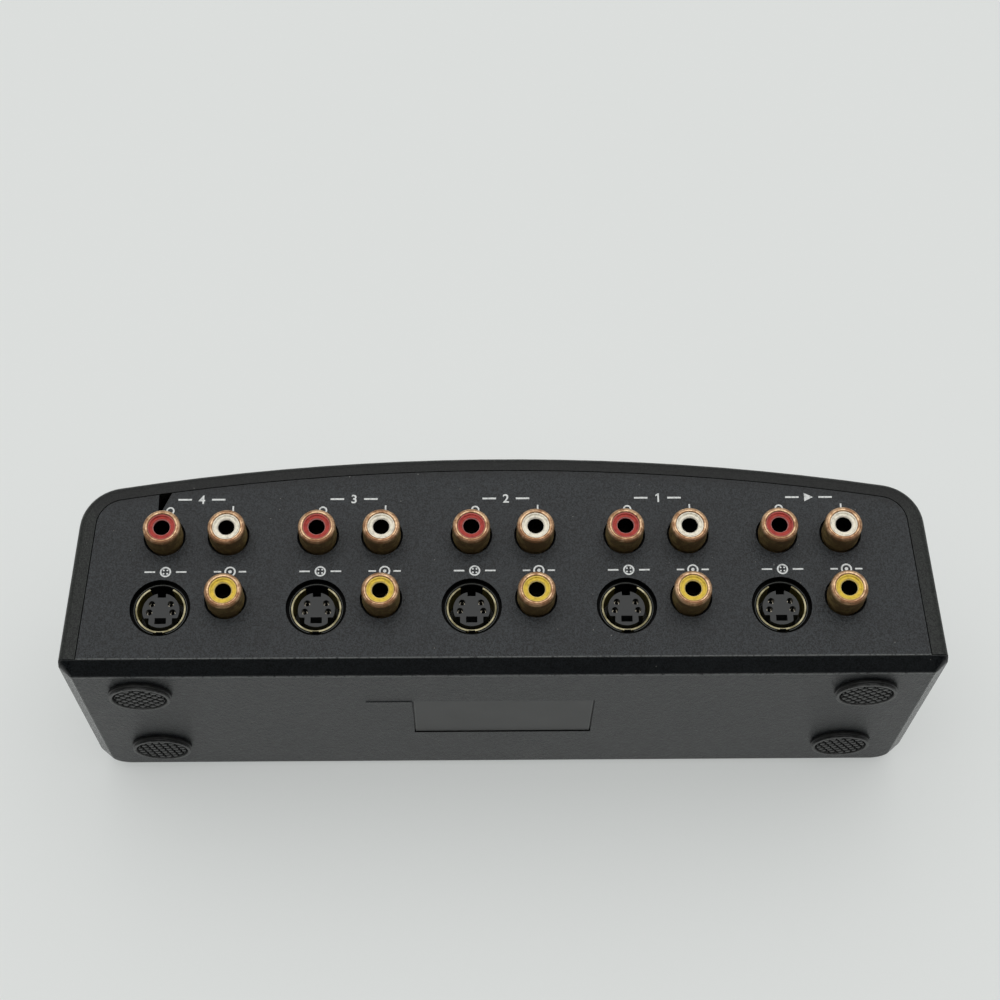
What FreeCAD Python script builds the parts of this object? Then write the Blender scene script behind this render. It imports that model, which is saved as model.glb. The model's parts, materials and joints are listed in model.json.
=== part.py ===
"""Desktop audio and video selector switch with four inputs and one output.

The frame is the unit's own: +Z up, the soles of the feet at Z = 0, the front with the push buttons
towards -Y, the rear with the jacks towards +Y, and X = 0 on the plane of symmetry of the case.
Everything is in millimetres.
"""
import FreeCAD, Part
import math
import operator
import os
import Sketcher

Vector = FreeCAD.Vector
Rotation = FreeCAD.Rotation
ALONG_Y, ALONG_Z = Vector(0, 1, 0), Vector(0, 0, 1)

doc = FreeCAD.newDocument("selector_switch")
sheet = doc.addObject("Spreadsheet::Sheet", "Sizes")

# Driving dimensions, grouped by the piece that they belong to
DRIVING = dict(
    # Case outline, seen from behind
    case_width=190.8,
    case_depth=64.0,
    case_height=52.3,
    crown_radius=527.0,
    corner_radius=10.0,
    side_lean=3.9,
    front_rounding=7.0,
    cavity_rounding=3.0,
    # Upper case
    case_wall=2.4,
    front_wall=2.5,
    rim_side=3.9,
    rim_top=3.5,
    rim_depth=3.0,
    rim_rounding=1.6,
    seam=0.2,
    # Lower case
    foot_height=1.5,
    base_thickness=3.0,
    base_land=0.8,
    slope_side=2.7,
    slope_front=2.3,
    slope_rear=3.2,
    corner_under=0.5,
    rear_wall=2.0,
    lip_height=3.0,
    lip_wall=1.5,
    lip_clearance=0.6,
    # Blank label in its moulded field, the raised pad beside it, and the piece broken out of the rear wall
    label_width=40.5,
    label_length=21.2,
    label_depth=0.5,
    label_behind=19.4,
    label_thickness=0.25,
    label_clearance=0.3,
    pad_width=10.2,
    pad_length=6.2,
    pad_height=0.15,
    pad_gap=0.1,
    chip_offset=1.8,
    chip_foot=4.2,
    chip_height=12.0,
    chip_width=5.3,
    # Feet
    foot_spread=159.0,
    foot_pitch=35.0,
    foot_behind=13.36,
    foot_radius=6.85,
    foot_step=0.7,
    waist_radius=6.45,
    sole_radius=6.8,
    sole_width=0.85,
    sole_thickness=0.3,
    tread_floor=1.0,
    tread_radius=5.6,
    tread_low=0.12,
    tread_groove=0.5,
    tread_pitch=1.62,
    # Case screws, which stand off the centre of each foot towards the side
    screw_offset=3.0,
    screw_radius=1.5,
    screw_length=12.5,
    head_radius=3.0,
    head_height=2.2,
    sleeve_height=3.5,
    sleeve_radius=4.8,
    counterbore_radius=3.3,
    counterbore_depth=5.0,
    post_radius=3.0,
    pilot_clearance=0.03,
    pilot_depth=14.0,
    screw_hole_clearance=0.3,
    # Jack positions on the rear
    group_pitch=33.6,
    jack_spread=14.0,
    audio_height=33.1,
    video_drop=14.93,
    svideo_drop=16.83,
    jack_proud=5.44,
    phono_hole_radius=4.6,
    svideo_hole_radius=6.56,
    # Phono jack
    shell_radius=4.1,
    shell_bore=3.0,
    shell_neck_step=0.35,
    shell_outer_lip=0.78,
    shell_inner_lip=0.28,
    shell_seat_depth=8.0,
    shell_seat_clearance=0.05,
    insert_clearance=0.03,
    insert_recess=0.25,
    insert_rim=0.35,
    insert_dish=0.2,
    pin_bore=1.785,
    pin_mouth=0.25,
    pin_bore_start=0.3,
    contact_bore=1.95,
    contact_clearance=0.05,
    contact_wall=0.25,
    contact_length=6.0,
    contact_floor=1.0,
    tail_radius=0.4,
    tail_clearance=0.1,
    tail_proud=1.0,
    # S-video jack
    shield_radius=5.4,
    shield_wall=0.35,
    shield_gap_angle=56.0,
    collar_radius=5.8,
    collar_notch_width=2.65,
    shield_recess=1.0,
    shield_seat_depth=9.0,
    core_radius=4.0,
    core_recess=1.5,
    core_flange=1.0,
    core_top_notch_width=1.8,
    core_top_notch_depth=1.0,
    key_width=2.45,
    key_height=1.4,
    key_drop=2.45,
    key_depth=4.5,
    core_shoulder_across=2.5,
    core_shoulder_drop=1.8,
    pin_hole_radius=0.7,
    upper_pins_across=2.05,
    upper_pins_rise=1.5,
    lower_pins_across=2.52,
    lower_pins_drop=0.43,
    svideo_contact_clearance=0.05,
    svideo_contact_front=6.0,
    # Jack housing and jack board
    housing_width=27.6,
    housing_depth=8.0,
    housing_above=6.0,
    housing_below=24.5,
    board_thickness=1.6,
    jack_board_width=157.0,
    jack_board_bottom=9.0,
    jack_board_top=42.0,
    standoff_radius=2.5,
    standoff_low=12.0,
    standoff_high=36.0,
    board_screw_radius=1.2,
    board_screw_length=7.5,
    board_screw_head_radius=2.3,
    board_screw_head_height=1.6,
    board_screw_grip=0.03,
    # Buttons and front fascia
    button_pitch=35.0,
    button_height=26.0,
    cap_width=28.0,
    cap_height=11.0,
    cap_depth=9.0,
    cap_setback=0.4,
    cap_wall=1.3,
    cap_face=1.6,
    cap_corner=1.0,
    cap_rounding=0.8,
    cap_flange=1.3,
    cap_flange_thickness=1.0,
    cap_flange_gap=0.22,
    cap_boss_wall=1.5,
    aperture_clearance=0.3,
    fascia_width=150.0,
    fascia_height=24.0,
    fascia_corner=3.0,
    fascia_setback=1.2,
    fascia_flange=2.0,
    fascia_flange_thickness=1.5,
    fascia_clearance=0.3,
    # Plungers, with a spring collar and a latching barb
    plunger_width=4.0,
    plunger_thickness=3.0,
    plunger_grip=6.0,
    plunger_clearance=0.05,
    plunger_length=34.3,
    collar_size=8.0,
    collar_thickness=1.0,
    barb_height=1.0,
    button_travel=3.5,
    # Switch frame, latch bar, contact blocks and switch board
    frame_width=126.0,
    frame_front=18.7,
    frame_depth=17.0,
    frame_height=13.0,
    frame_sheet=1.0,
    window_clearance=0.3,
    latch_width=120.0,
    latch_height=9.0,
    latch_sheet=1.0,
    latch_gap=0.2,
    latch_travel=1.2,
    latch_tab_height=2.6,
    latch_tab_proud=0.5,
    latch_spring_space=7.0,
    latch_head_height=7.0,
    latch_head_length=1.5,
    contact_block_width=12.0,
    contact_block_start=5.0,
    contact_block_gap=0.1,
    switch_board_width=140.0,
    switch_board_front=17.7,
    switch_board_depth=25.0,
    switch_post_radius=3.0,
    switch_post_across=66.0,
    switch_post_first=9.0,
    switch_post_pitch=13.0,
    # Springs
    spring_wire=0.5,
    spring_seat_gap=0.1,
    return_spring_radius=3.2,
    latch_spring_radius=2.1,
    # Ribbon cable and its two headers
    header_width=20.0,
    header_depth=4.5,
    header_rise=5.0,
    jack_header_height=39.5,
    switch_header_inset=4.0,
    ribbon_width=16.0,
    ribbon_thickness=0.9,
    ribbon_bend=3.0,
)

# Counts and the turn of each foot's tread, which no length depends on
GROUPS = ("output", "input_1", "input_2", "input_3", "input_4")
BUTTONS = (1, 2, 3, 4)
TREAD_GROOVES = 8
RETURN_SPRING_TURNS = 6
LATCH_SPRING_TURNS = 4
FEET = {
    "foot_rear_left": (-1, "rear", 47.0),
    "foot_rear_right": (1, "rear", 45.0),
    "foot_front_left": (-1, "front", 60.5),
    "foot_front_right": (1, "front", 79.0),
}

OPERATIONS = {"+": operator.add, "-": operator.sub, "*": operator.mul, "/": operator.truediv}


class Size:
    """A number together with the sheet expression that gives it."""

    def __init__(self, number, text):
        self.number = number
        self.text = text

    def __add__(self, other):
        return combine(self, "+", other)

    def __radd__(self, other):
        return combine(other, "+", self)

    def __sub__(self, other):
        return combine(self, "-", other)

    def __rsub__(self, other):
        return combine(other, "-", self)

    def __mul__(self, other):
        return combine(self, "*", other)

    def __rmul__(self, other):
        return combine(other, "*", self)

    def __truediv__(self, other):
        return combine(self, "/", other)

    def __neg__(self):
        return combine(0, "-", self)


def as_size(value):
    return value if isinstance(value, Size) else Size(float(value), repr(float(value)))


def combine(left, sign, right):
    left, right = as_size(left), as_size(right)
    return Size(OPERATIONS[sign](left.number, right.number), f"({left.text} {sign} {right.text})")


def square_root(size):
    return Size(math.sqrt(size.number), f"sqrt({size.text})")


def cosine(angle):
    return Size(math.cos(math.radians(angle.number)), f"cos({angle.text})")


class Sheet:
    """The driving dimensions by name, each read back from its own cell of the sheet."""

    def __init__(self, numbers):
        for row, (name, number) in enumerate(numbers.items(), 1):
            sheet.set(f"A{row}", name)
            sheet.set(f"B{row}", str(number))
            sheet.setAlias(f"B{row}", name)
        doc.recompute()
        for name in numbers:
            setattr(self, name, Size(float(getattr(sheet, name)), f"{sheet.Name}.{name}"))


s = Sheet(DRIVING)
ZERO = as_size(0)
PARTS = {}


def sub_part(name, piece):
    """Give a finished object the name of its node and list it for export."""
    piece.Label = name
    PARTS[name] = piece
    return piece


# Placement and binding

def bind(piece, **sizes):
    for name, size in sizes.items():
        piece.setExpression(name, as_size(size).text)


def place(piece, x=0, y=0, z=0, turn=None):
    """Put an object's origin at three sizes, after an optional fixed turn."""
    piece.Placement = FreeCAD.Placement(Vector(), turn or Rotation())
    for axis, size in zip("xyz", (x, y, z)):
        piece.setExpression(f".Placement.Base.{axis}", as_size(size).text)


# Primitives and booleans

ALONG = {"X": Rotation(Vector(0, 1, 0), 90), "Y": Rotation(Vector(1, 0, 0), -90), "Z": Rotation()}


def block(name, low, high):
    """A rectangular block between two corners."""
    piece = doc.addObject("Part::Box", name)
    bind(piece, Length=high[0] - low[0], Width=high[1] - low[1], Height=high[2] - low[2])
    place(piece, *low)
    return piece


def rod(name, axis, start, radius, length, angle=360, turn=None):
    """A round bar from start, along one axis, or the part of it that an angle covers."""
    piece = doc.addObject("Part::Cylinder", name)
    bind(piece, Radius=radius, Height=length, Angle=angle)
    place(piece, *start, turn=ALONG[axis].multiply(turn) if turn else ALONG[axis])
    return piece


def cone(name, axis, start, radius, end_radius, length):
    piece = doc.addObject("Part::Cone", name)
    bind(piece, Radius1=radius, Radius2=end_radius, Height=length)
    place(piece, *start, turn=ALONG[axis])
    return piece


def fuse(name, pieces):
    piece = doc.addObject("Part::MultiFuse", name)
    piece.Shapes = pieces
    return piece


def cut(name, base, tools):
    piece = doc.addObject("Part::Cut", name)
    piece.Base = base
    piece.Tool = tools[0] if len(tools) == 1 else fuse(name + "_tools", tools)
    return piece


def group(name, pieces):
    """Several separate solids that share one node."""
    piece = doc.addObject("Part::Compound", name)
    piece.Links = pieces
    return piece


# Bodies made from sketches

def body(name, x=0, y=0, z=0, turn=None):
    piece = doc.addObject("PartDesign::Body", name)
    place(piece, x, y, z, turn)
    return sub_part(name, piece)


def sketch_on(owner, role, offset):
    sketch = owner.newObject("Sketcher::SketchObject", owner.Name + "_sketch")
    plane = next(item for item in owner.Origin.OriginFeatures if item.Role == role)
    sketch.AttachmentSupport = [(plane, "")]
    sketch.MapMode = "FlatFace"
    sketch.setExpression(".AttachmentOffset.Base.z", as_size(offset).text)
    return sketch


def sketch_at_y(owner, y):
    """A sketch in the plane Y = y. Its axes are X and Z, and it faces -Y."""
    return sketch_on(owner, "XZ_Plane", -as_size(y))


def sketch_at_z(owner, z):
    """A sketch in the plane Z = z. Its axes are X and Y, and it faces +Z."""
    return sketch_on(owner, "XY_Plane", z)


def sketch_at_x(owner, x):
    """A sketch in the plane X = x. Its axes are Y and Z, and it faces +X."""
    return sketch_on(owner, "YZ_Plane", x)


def hold(sketch, kind, geometry, point, size):
    """Hold one coordinate of a point, measured from the sketch's origin."""
    size = as_size(size)
    index = sketch.addConstraint(Sketcher.Constraint(kind, -1, 1, geometry, point, size.number))
    sketch.setExpression(f"Constraints[{index}]", size.text)


def hold_radius(sketch, geometry, size):
    index = sketch.addConstraint(Sketcher.Constraint("Radius", geometry, size.number))
    sketch.setExpression(f"Constraints[{index}]", size.text)


def polygon(sketch, points):
    """A closed outline of straight lines through the given corners."""
    corners = [Vector(as_size(x).number, as_size(y).number, 0) for x, y in points]
    lines = [
        sketch.addGeometry(Part.LineSegment(corner, after))
        for corner, after in zip(corners, corners[1:] + corners[:1])
    ]
    for line, after in zip(lines, lines[1:] + lines[:1]):
        sketch.addConstraint(Sketcher.Constraint("Coincident", line, 2, after, 1))
    for line, (x, y) in zip(lines, points):
        hold(sketch, "DistanceX", line, 1, x)
        hold(sketch, "DistanceY", line, 1, y)
    return sketch


def rectangle(sketch, left, bottom, right, top):
    return polygon(sketch, [(left, bottom), (right, bottom), (right, top), (left, top)])


def rounded_rectangle(sketch, left, low, right, high, low_radius, high_radius):
    """A rectangle whose two lower corners have one radius and whose two upper corners another."""
    left, low, right, high = (as_size(value) for value in (left, low, right, high))
    sides = [
        ((left + low_radius, low), (right - low_radius, low)),
        ((right, low + low_radius), (right, high - high_radius)),
        ((right - high_radius, high), (left + high_radius, high)),
        ((left, high - high_radius), (left, low + low_radius)),
    ]
    centres = [
        (right - low_radius, low + low_radius, low_radius), (right - high_radius, high - high_radius, high_radius),
        (left + high_radius, high - high_radius, high_radius), (left + low_radius, low + low_radius, low_radius),
    ]
    lines = []
    for ends in sides:
        line = sketch.addGeometry(Part.LineSegment(*(Vector(x.number, y.number, 0) for x, y in ends)))
        for point, (x, y) in enumerate(ends, 1):
            hold(sketch, "DistanceX", line, point, x)
            hold(sketch, "DistanceY", line, point, y)
        lines.append(line)
    for quarter, (x, y, radius) in enumerate(centres):
        round_line = Part.Circle(Vector(x.number, y.number, 0), Vector(0, 0, 1), radius.number)
        start = (quarter - 1) * math.pi / 2
        corner = sketch.addGeometry(Part.ArcOfCircle(round_line, start, start + math.pi / 2))
        sketch.addConstraint(Sketcher.Constraint("Coincident", lines[quarter], 2, corner, 1))
        sketch.addConstraint(Sketcher.Constraint("Coincident", corner, 2, lines[(quarter + 1) % len(lines)], 1))
        hold_radius(sketch, corner, radius)
    return sketch


def circle(sketch, x, y, radius):
    x, y = as_size(x), as_size(y)
    ring = sketch.addGeometry(Part.Circle(Vector(x.number, y.number, 0), Vector(0, 0, 1), radius.number))
    hold(sketch, "DistanceX", ring, 3, x)
    hold(sketch, "DistanceY", ring, 3, y)
    hold_radius(sketch, ring, radius)
    return sketch


def arched_outline(sketch, half_width, base, top, crown_radius, corner_radius):
    """The outline of the case seen from behind.

    A straight base, two sides that lean in by side_lean, an arched top whose centre lies on the
    axis, and a round corner that is tangent to the side and to the arch.
    """
    lean = math.radians(s.side_lean.number)
    up, inward = Vector(-math.sin(lean), math.cos(lean), 0), Vector(-math.cos(lean), -math.sin(lean), 0)
    foot = Vector(half_width.number, base.number, 0)
    crown = top - crown_radius
    crown_centre = Vector(0, crown.number, 0)
    reach = crown_radius.number - corner_radius.number
    start = foot + inward * corner_radius.number - crown_centre
    along = -start.dot(up) + math.sqrt(start.dot(up) ** 2 - start.dot(start) + reach ** 2)
    centre = crown_centre + start + up * along
    side_end = centre - inward * corner_radius.number
    arch_end = centre + (centre - crown_centre).normalize() * corner_radius.number
    mirror = lambda point: Vector(-point.x, point.y, 0)
    facing = Vector(0, 0, 1)
    angle_at = lambda middle, point: math.atan2(point.y - middle.y, point.x - middle.x)

    def arc(middle, radius, first, last):
        round_line = Part.Circle(middle, facing, radius)
        return sketch.addGeometry(
            Part.ArcOfCircle(round_line, angle_at(middle, first), angle_at(middle, last)))

    floor = sketch.addGeometry(Part.LineSegment(mirror(foot), foot))
    right = sketch.addGeometry(Part.LineSegment(foot, side_end))
    right_corner = arc(centre, corner_radius.number, side_end, arch_end)
    arch = arc(crown_centre, crown_radius.number, arch_end, mirror(arch_end))
    left_corner = arc(mirror(centre), corner_radius.number, mirror(arch_end), mirror(side_end))
    left = sketch.addGeometry(Part.LineSegment(mirror(side_end), mirror(foot)))
    loop = [right, right_corner, arch, left_corner, left]
    sketch.addConstraint(Sketcher.Constraint("Coincident", floor, 2, right, 1))
    sketch.addConstraint(Sketcher.Constraint("Coincident", left, 2, floor, 1))
    for first, after in zip(loop, loop[1:]):
        sketch.addConstraint(Sketcher.Constraint("Tangent", first, 2, after, 1))
    hold(sketch, "DistanceX", floor, 2, half_width)
    hold(sketch, "DistanceY", floor, 2, base)
    hold(sketch, "DistanceX", floor, 1, -half_width)
    hold(sketch, "DistanceY", floor, 1, base)
    hold(sketch, "DistanceX", arch, 3, ZERO)
    hold(sketch, "DistanceY", arch, 3, crown)
    hold_radius(sketch, arch, crown_radius)
    hold_radius(sketch, right_corner, corner_radius)
    hold_radius(sketch, left_corner, corner_radius)
    slope = 90 - s.side_lean
    index = sketch.addConstraint(
        Sketcher.Constraint("Angle", right, 1, floor, 2, math.radians(slope.number)))
    sketch.setExpression(f"Constraints[{index}]", slope.text)
    sketch.addConstraint(Sketcher.Constraint("Equal", right, left))
    return sketch


def settled(owner, feature):
    """Recompute and stop if a feature or its sketch failed."""
    doc.recompute()
    for item in owner.Group:
        if "Invalid" in item.State or "Error" in item.State:
            raise ValueError(f"{owner.Label}: {item.Name} failed: {item.getStatusString()}")
    return feature


def checked(owner, feature, grows):
    """Recompute and stop if a feature failed or changed the volume the wrong way."""
    settled(owner, feature)
    base = feature.BaseFeature.Shape.Volume if feature.BaseFeature else 0
    change = feature.Shape.Volume - base
    if (change > 0) != grows or change == 0:
        raise ValueError(f"{owner.Label}: {feature.Name} changed the volume by {change:.3f}")
    return feature


def pad(owner, sketch, length, reverse=False):
    feature = owner.newObject("PartDesign::Pad", owner.Name + "_pad")
    feature.Profile = sketch
    feature.Reversed = reverse
    bind(feature, Length=length)
    return checked(owner, feature, True)


def pocket(owner, sketch, length, reverse=False):
    feature = owner.newObject("PartDesign::Pocket", owner.Name + "_pocket")
    feature.Profile = sketch
    feature.Reversed = reverse
    bind(feature, Length=length)
    return checked(owner, feature, False)


def edges_where(shape, test, along=None):
    """Names of the edges whose ends both pass a test, and that run along one axis if it is given."""
    return [
        f"Edge{number}" for number, edge in enumerate(shape.Edges, 1)
        if all(test(vertex.Point) for vertex in edge.Vertexes) and (along is None or runs_along(edge, along))
    ]


def runs_along(edge, axis):
    reach = edge.Vertexes[-1].Point - edge.Vertexes[0].Point
    return reach.Length > 0 and reach.cross(axis).Length < 1e-6


def near(value, size):
    return abs(value - as_size(size).number) < 1e-4


def fillet(owner, base, radius, test, along=None):
    feature = owner.newObject("PartDesign::Fillet", owner.Name + "_fillet")
    feature.Base = (base, edges_where(base.Shape, test, along))
    bind(feature, Radius=radius)
    return settled(owner, feature)


def round_end(owner, base, radius, y):
    """Round the edges at one end of the case, apart from the straight one along its base."""
    names = [
        f"Edge{number}" for number, edge in enumerate(base.Shape.Edges, 1)
        if all(near(vertex.Y, y) for vertex in edge.Vertexes)
        and not all(near(vertex.Z, CASE_LOW) for vertex in edge.Vertexes)
    ]
    feature = owner.newObject("PartDesign::Fillet", owner.Name + "_rounding")
    feature.Base = (base, names)
    bind(feature, Radius=radius)
    return settled(owner, feature)


def loft(owner, sketches):
    """A solid through several outlines, straight between each two."""
    feature = owner.newObject("PartDesign::AdditiveLoft", owner.Name + "_loft")
    feature.Profile = sketches[0]
    feature.Sections = sketches[1:]
    feature.Ruled = True
    return checked(owner, feature, True)


# Places worked out from the driving dimensions

HALF_WIDTH = s.case_width / 2
REAR_FACE = (s.case_depth - s.jack_proud) / 2
FRONT_FACE = REAR_FACE - s.case_depth
BASE_TOP = s.foot_height + s.base_thickness
CASE_LOW = BASE_TOP + s.seam
INNER_REAR = REAR_FACE - s.rear_wall
INNER_FRONT = FRONT_FACE + s.front_wall
SLEEVE_TOP = BASE_TOP + s.sleeve_height
HOUSING_BACK = INNER_REAR - s.housing_depth
JACK_BOARD_BACK = HOUSING_BACK - s.board_thickness
TAIL_END = JACK_BOARD_BACK - s.tail_proud
VIDEO_HEIGHT = s.audio_height - s.video_drop
SVIDEO_HEIGHT = s.audio_height - s.svideo_drop
FOOT_ROWS = {"rear": REAR_FACE - s.foot_behind, "front": REAR_FACE - s.foot_behind - s.foot_pitch}
SCREW_ACROSS = s.foot_spread / 2 + s.screw_offset
SWITCH_FRAME_FRONT = FRONT_FACE + s.frame_front
SWITCH_FRAME_LOW = s.button_height - s.frame_height / 2 - s.frame_sheet / 2
LATCH_FRONT = SWITCH_FRAME_FRONT + s.frame_sheet + s.latch_gap
CAP_FRONT = FRONT_FACE + s.cap_setback
CAP_REAR = CAP_FRONT + s.cap_depth
FASCIA_REAR = INNER_FRONT + s.fascia_flange_thickness


def group_across(index):
    """The X of a jack group's middle, from the output on the -X side."""
    return s.group_pitch * (index - (len(GROUPS) - 1) / 2)


def button_across(number):
    return s.button_pitch * (number - (len(BUTTONS) + 1) / 2)


def phono_places(middle):
    """Right audio, left audio and video, as X and Z."""
    half = s.jack_spread / 2
    return {
        "right": (middle + half, s.audio_height),
        "left": (middle - half, s.audio_height),
        "video": (middle - half, VIDEO_HEIGHT),
    }


def svideo_place(middle):
    return middle + s.jack_spread / 2, SVIDEO_HEIGHT


def svideo_pins(middle):
    """The four pins of the S-video jack, as X and Z."""
    x, z = svideo_place(middle)
    upper, lower = z + s.upper_pins_rise, z - s.lower_pins_drop
    return [
        (x - s.upper_pins_across, upper), (x + s.upper_pins_across, upper),
        (x - s.lower_pins_across, lower), (x + s.lower_pins_across, lower),
    ]


def screw_places():
    return [(sign * SCREW_ACROSS, row) for sign in (-1, 1) for row in FOOT_ROWS.values()]


def standoff_places():
    """Standoffs in the gaps between the outer jack groups, as X and Z."""
    across = s.group_pitch * 1.5
    return [(sign * across, z) for sign in (-1, 1) for z in (s.standoff_low, s.standoff_high)]


def switch_post_places():
    first = SWITCH_FRAME_FRONT + s.switch_post_first
    return [
        (sign * s.switch_post_across, y) for sign in (-1, 1) for y in (first, first + s.switch_post_pitch)
    ]


# Case

def panel_outline(sketch, grown):
    """The rear wall's outline, grown outward on the sides and the top."""
    side, top = s.rim_side - grown, s.rim_top - grown
    return arched_outline(
        sketch, HALF_WIDTH - side / cosine(s.side_lean), BASE_TOP, s.case_height - top,
        s.crown_radius - top, s.corner_radius - side)


def upper_case():
    """Arched cover with a front wall, open below and behind, and four screw posts under its roof."""
    cover = body("upper_case")
    outline = arched_outline(
        sketch_at_y(cover, REAR_FACE), HALF_WIDTH, CASE_LOW, s.case_height, s.crown_radius, s.corner_radius)
    solid = pad(cover, outline, s.case_depth)
    solid = round_end(cover, solid, s.rim_rounding, REAR_FACE)
    round_end(cover, solid, s.front_rounding, FRONT_FACE)
    pocket(cover, panel_outline(sketch_at_y(cover, REAR_FACE), s.seam), s.rim_depth, reverse=True)
    cavity = arched_outline(
        sketch_at_y(cover, REAR_FACE - s.rim_depth), HALF_WIDTH - s.case_wall / cosine(s.side_lean), CASE_LOW,
        s.case_height - s.case_wall, s.crown_radius - s.case_wall, s.corner_radius - s.case_wall)
    hollow = pocket(cover, cavity, s.case_depth - s.rim_depth - s.front_wall, reverse=True)
    round_end(cover, hollow, s.cavity_rounding, INNER_FRONT)
    opening = sketch_at_y(cover, FRONT_FACE)
    half_width = s.fascia_width / 2 + s.fascia_clearance
    half_height = s.fascia_height / 2 + s.fascia_clearance
    rectangle(opening, -half_width, s.button_height - half_height, half_width, s.button_height + half_height)
    bay = pocket(cover, opening, s.front_wall)
    corners = lambda point: (
        (near(point.y, FRONT_FACE) or near(point.y, INNER_FRONT))
        and near(abs(point.x), half_width) and near(abs(point.z - s.button_height.number), half_height))
    fillet(cover, bay, s.fascia_corner, corners, ALONG_Y)
    roof_drop = s.crown_radius - square_root(s.crown_radius * s.crown_radius - SCREW_ACROSS * SCREW_ACROSS)
    post_top = s.case_height - roof_drop - s.case_wall / 2
    posts = sketch_at_z(cover, SLEEVE_TOP)
    pilots = sketch_at_z(cover, SLEEVE_TOP)
    for x, y in screw_places():
        circle(posts, x, y, s.post_radius)
        circle(pilots, x, y, s.screw_radius + s.pilot_clearance)
    pad(cover, posts, post_top - SLEEVE_TOP)
    pocket(cover, pilots, s.pilot_depth, reverse=True)


def base_outline(tray, z, side, front, rear, corner):
    """The base's outline at one height, drawn in from the case by three insets."""
    return rounded_rectangle(
        sketch_at_z(tray, z), side - HALF_WIDTH, FRONT_FACE + front, HALF_WIDTH - side, REAR_FACE - rear,
        s.front_rounding - side, corner)


def lower_case():
    """Base tray moulded in one with the rear wall that carries the jacks.

    Its underside is drawn in by a sloped band. Behind, the band reaches the rear wall; on the sides and
    in front it ends at an upright land.
    """
    tray = body("lower_case")
    land_low = BASE_TOP - s.base_land
    rear_at_land = s.slope_rear * s.base_land / s.base_thickness
    loft(tray, [
        base_outline(tray, s.foot_height, s.slope_side, s.slope_front, s.slope_rear, s.corner_under),
        base_outline(tray, land_low, ZERO, ZERO, rear_at_land, s.rim_rounding),
        base_outline(tray, BASE_TOP, ZERO, ZERO, ZERO, s.rim_rounding),
    ])
    case_lip(tray)
    pad(tray, panel_outline(sketch_at_y(tray, REAR_FACE), ZERO), s.rear_wall)
    rear_openings(tray)
    board_supports(tray)
    screw_sleeves(tray)
    underside(tray)


def case_lip(tray):
    """A low wall that stands just inside the upper case along its front and sides."""
    lip = sketch_at_z(tray, BASE_TOP)
    outer = HALF_WIDTH - s.case_wall - s.lip_clearance
    inner = outer - s.lip_wall
    front = INNER_FRONT + s.lip_clearance
    rear = REAR_FACE - s.rim_depth - s.lip_clearance
    polygon(lip, [
        (-outer, front), (outer, front), (outer, rear), (inner, rear),
        (inner, front + s.lip_wall), (-inner, front + s.lip_wall), (-inner, rear), (-outer, rear)])
    wall = pad(tray, lip, s.lip_height)
    corner = s.cavity_rounding - s.lip_clearance
    at = lambda x, y: lambda point: (
        near(abs(point.x), x) and near(point.y, y) and (near(point.z, BASE_TOP) or near(point.z, BASE_TOP + s.lip_height)))
    wall = fillet(tray, wall, corner, at(outer, front), ALONG_Z)
    fillet(tray, wall, corner - s.lip_wall, at(inner, front + s.lip_wall), ALONG_Z)


def rear_openings(tray):
    """Round holes for every jack, and the wedge that has broken out above one of them."""
    holes = sketch_at_y(tray, REAR_FACE)
    for index in range(len(GROUPS)):
        middle = group_across(index)
        for x, z in phono_places(middle).values():
            circle(holes, x, z, s.phono_hole_radius)
        circle(holes, *svideo_place(middle), s.svideo_hole_radius)
    pocket(tray, holes, s.rear_wall, reverse=True)
    x, z = phono_places(group_across(len(GROUPS) - 1))["right"]
    outer, foot_of_chip = x + s.chip_offset, z + s.chip_foot
    top_of_chip = foot_of_chip + s.chip_height
    chip = sketch_at_y(tray, REAR_FACE)
    polygon(chip, [(outer, foot_of_chip), (outer, top_of_chip), (outer - s.chip_width, top_of_chip)])
    pocket(tray, chip, s.rear_wall, reverse=True)


def board_supports(tray):
    """Standoffs on the rear wall for the jack board, and posts on the floor for the switch board."""
    standoffs, standoff_pilots = sketch_at_y(tray, INNER_REAR), sketch_at_y(tray, HOUSING_BACK)
    for x, z in standoff_places():
        circle(standoffs, x, z, s.standoff_radius)
        circle(standoff_pilots, x, z, s.board_screw_radius + s.board_screw_grip)
    pad(tray, standoffs, s.housing_depth)
    pocket(tray, standoff_pilots, s.board_screw_length)
    underside_of_board = SWITCH_FRAME_LOW - s.board_thickness
    posts, post_pilots = sketch_at_z(tray, BASE_TOP), sketch_at_z(tray, underside_of_board)
    for x, y in switch_post_places():
        circle(posts, x, y, s.switch_post_radius)
        circle(post_pilots, x, y, s.board_screw_radius + s.board_screw_grip)
    pad(tray, posts, underside_of_board - BASE_TOP)
    pocket(tray, post_pilots, s.board_screw_length)


def screw_sleeves(tray):
    """Four sleeves that seat the case screws from below."""
    sleeves, bores, holes = (sketch_at_z(tray, z) for z in (BASE_TOP, s.foot_height, s.foot_height))
    for x, y in screw_places():
        circle(sleeves, x, y, s.sleeve_radius)
        circle(bores, x, y, s.counterbore_radius)
        circle(holes, x, y, s.screw_radius + s.screw_hole_clearance)
    pad(tray, sleeves, s.sleeve_height)
    pocket(tray, bores, s.counterbore_depth, reverse=True)
    pocket(tray, holes, s.base_thickness + s.sleeve_height, reverse=True)


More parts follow.
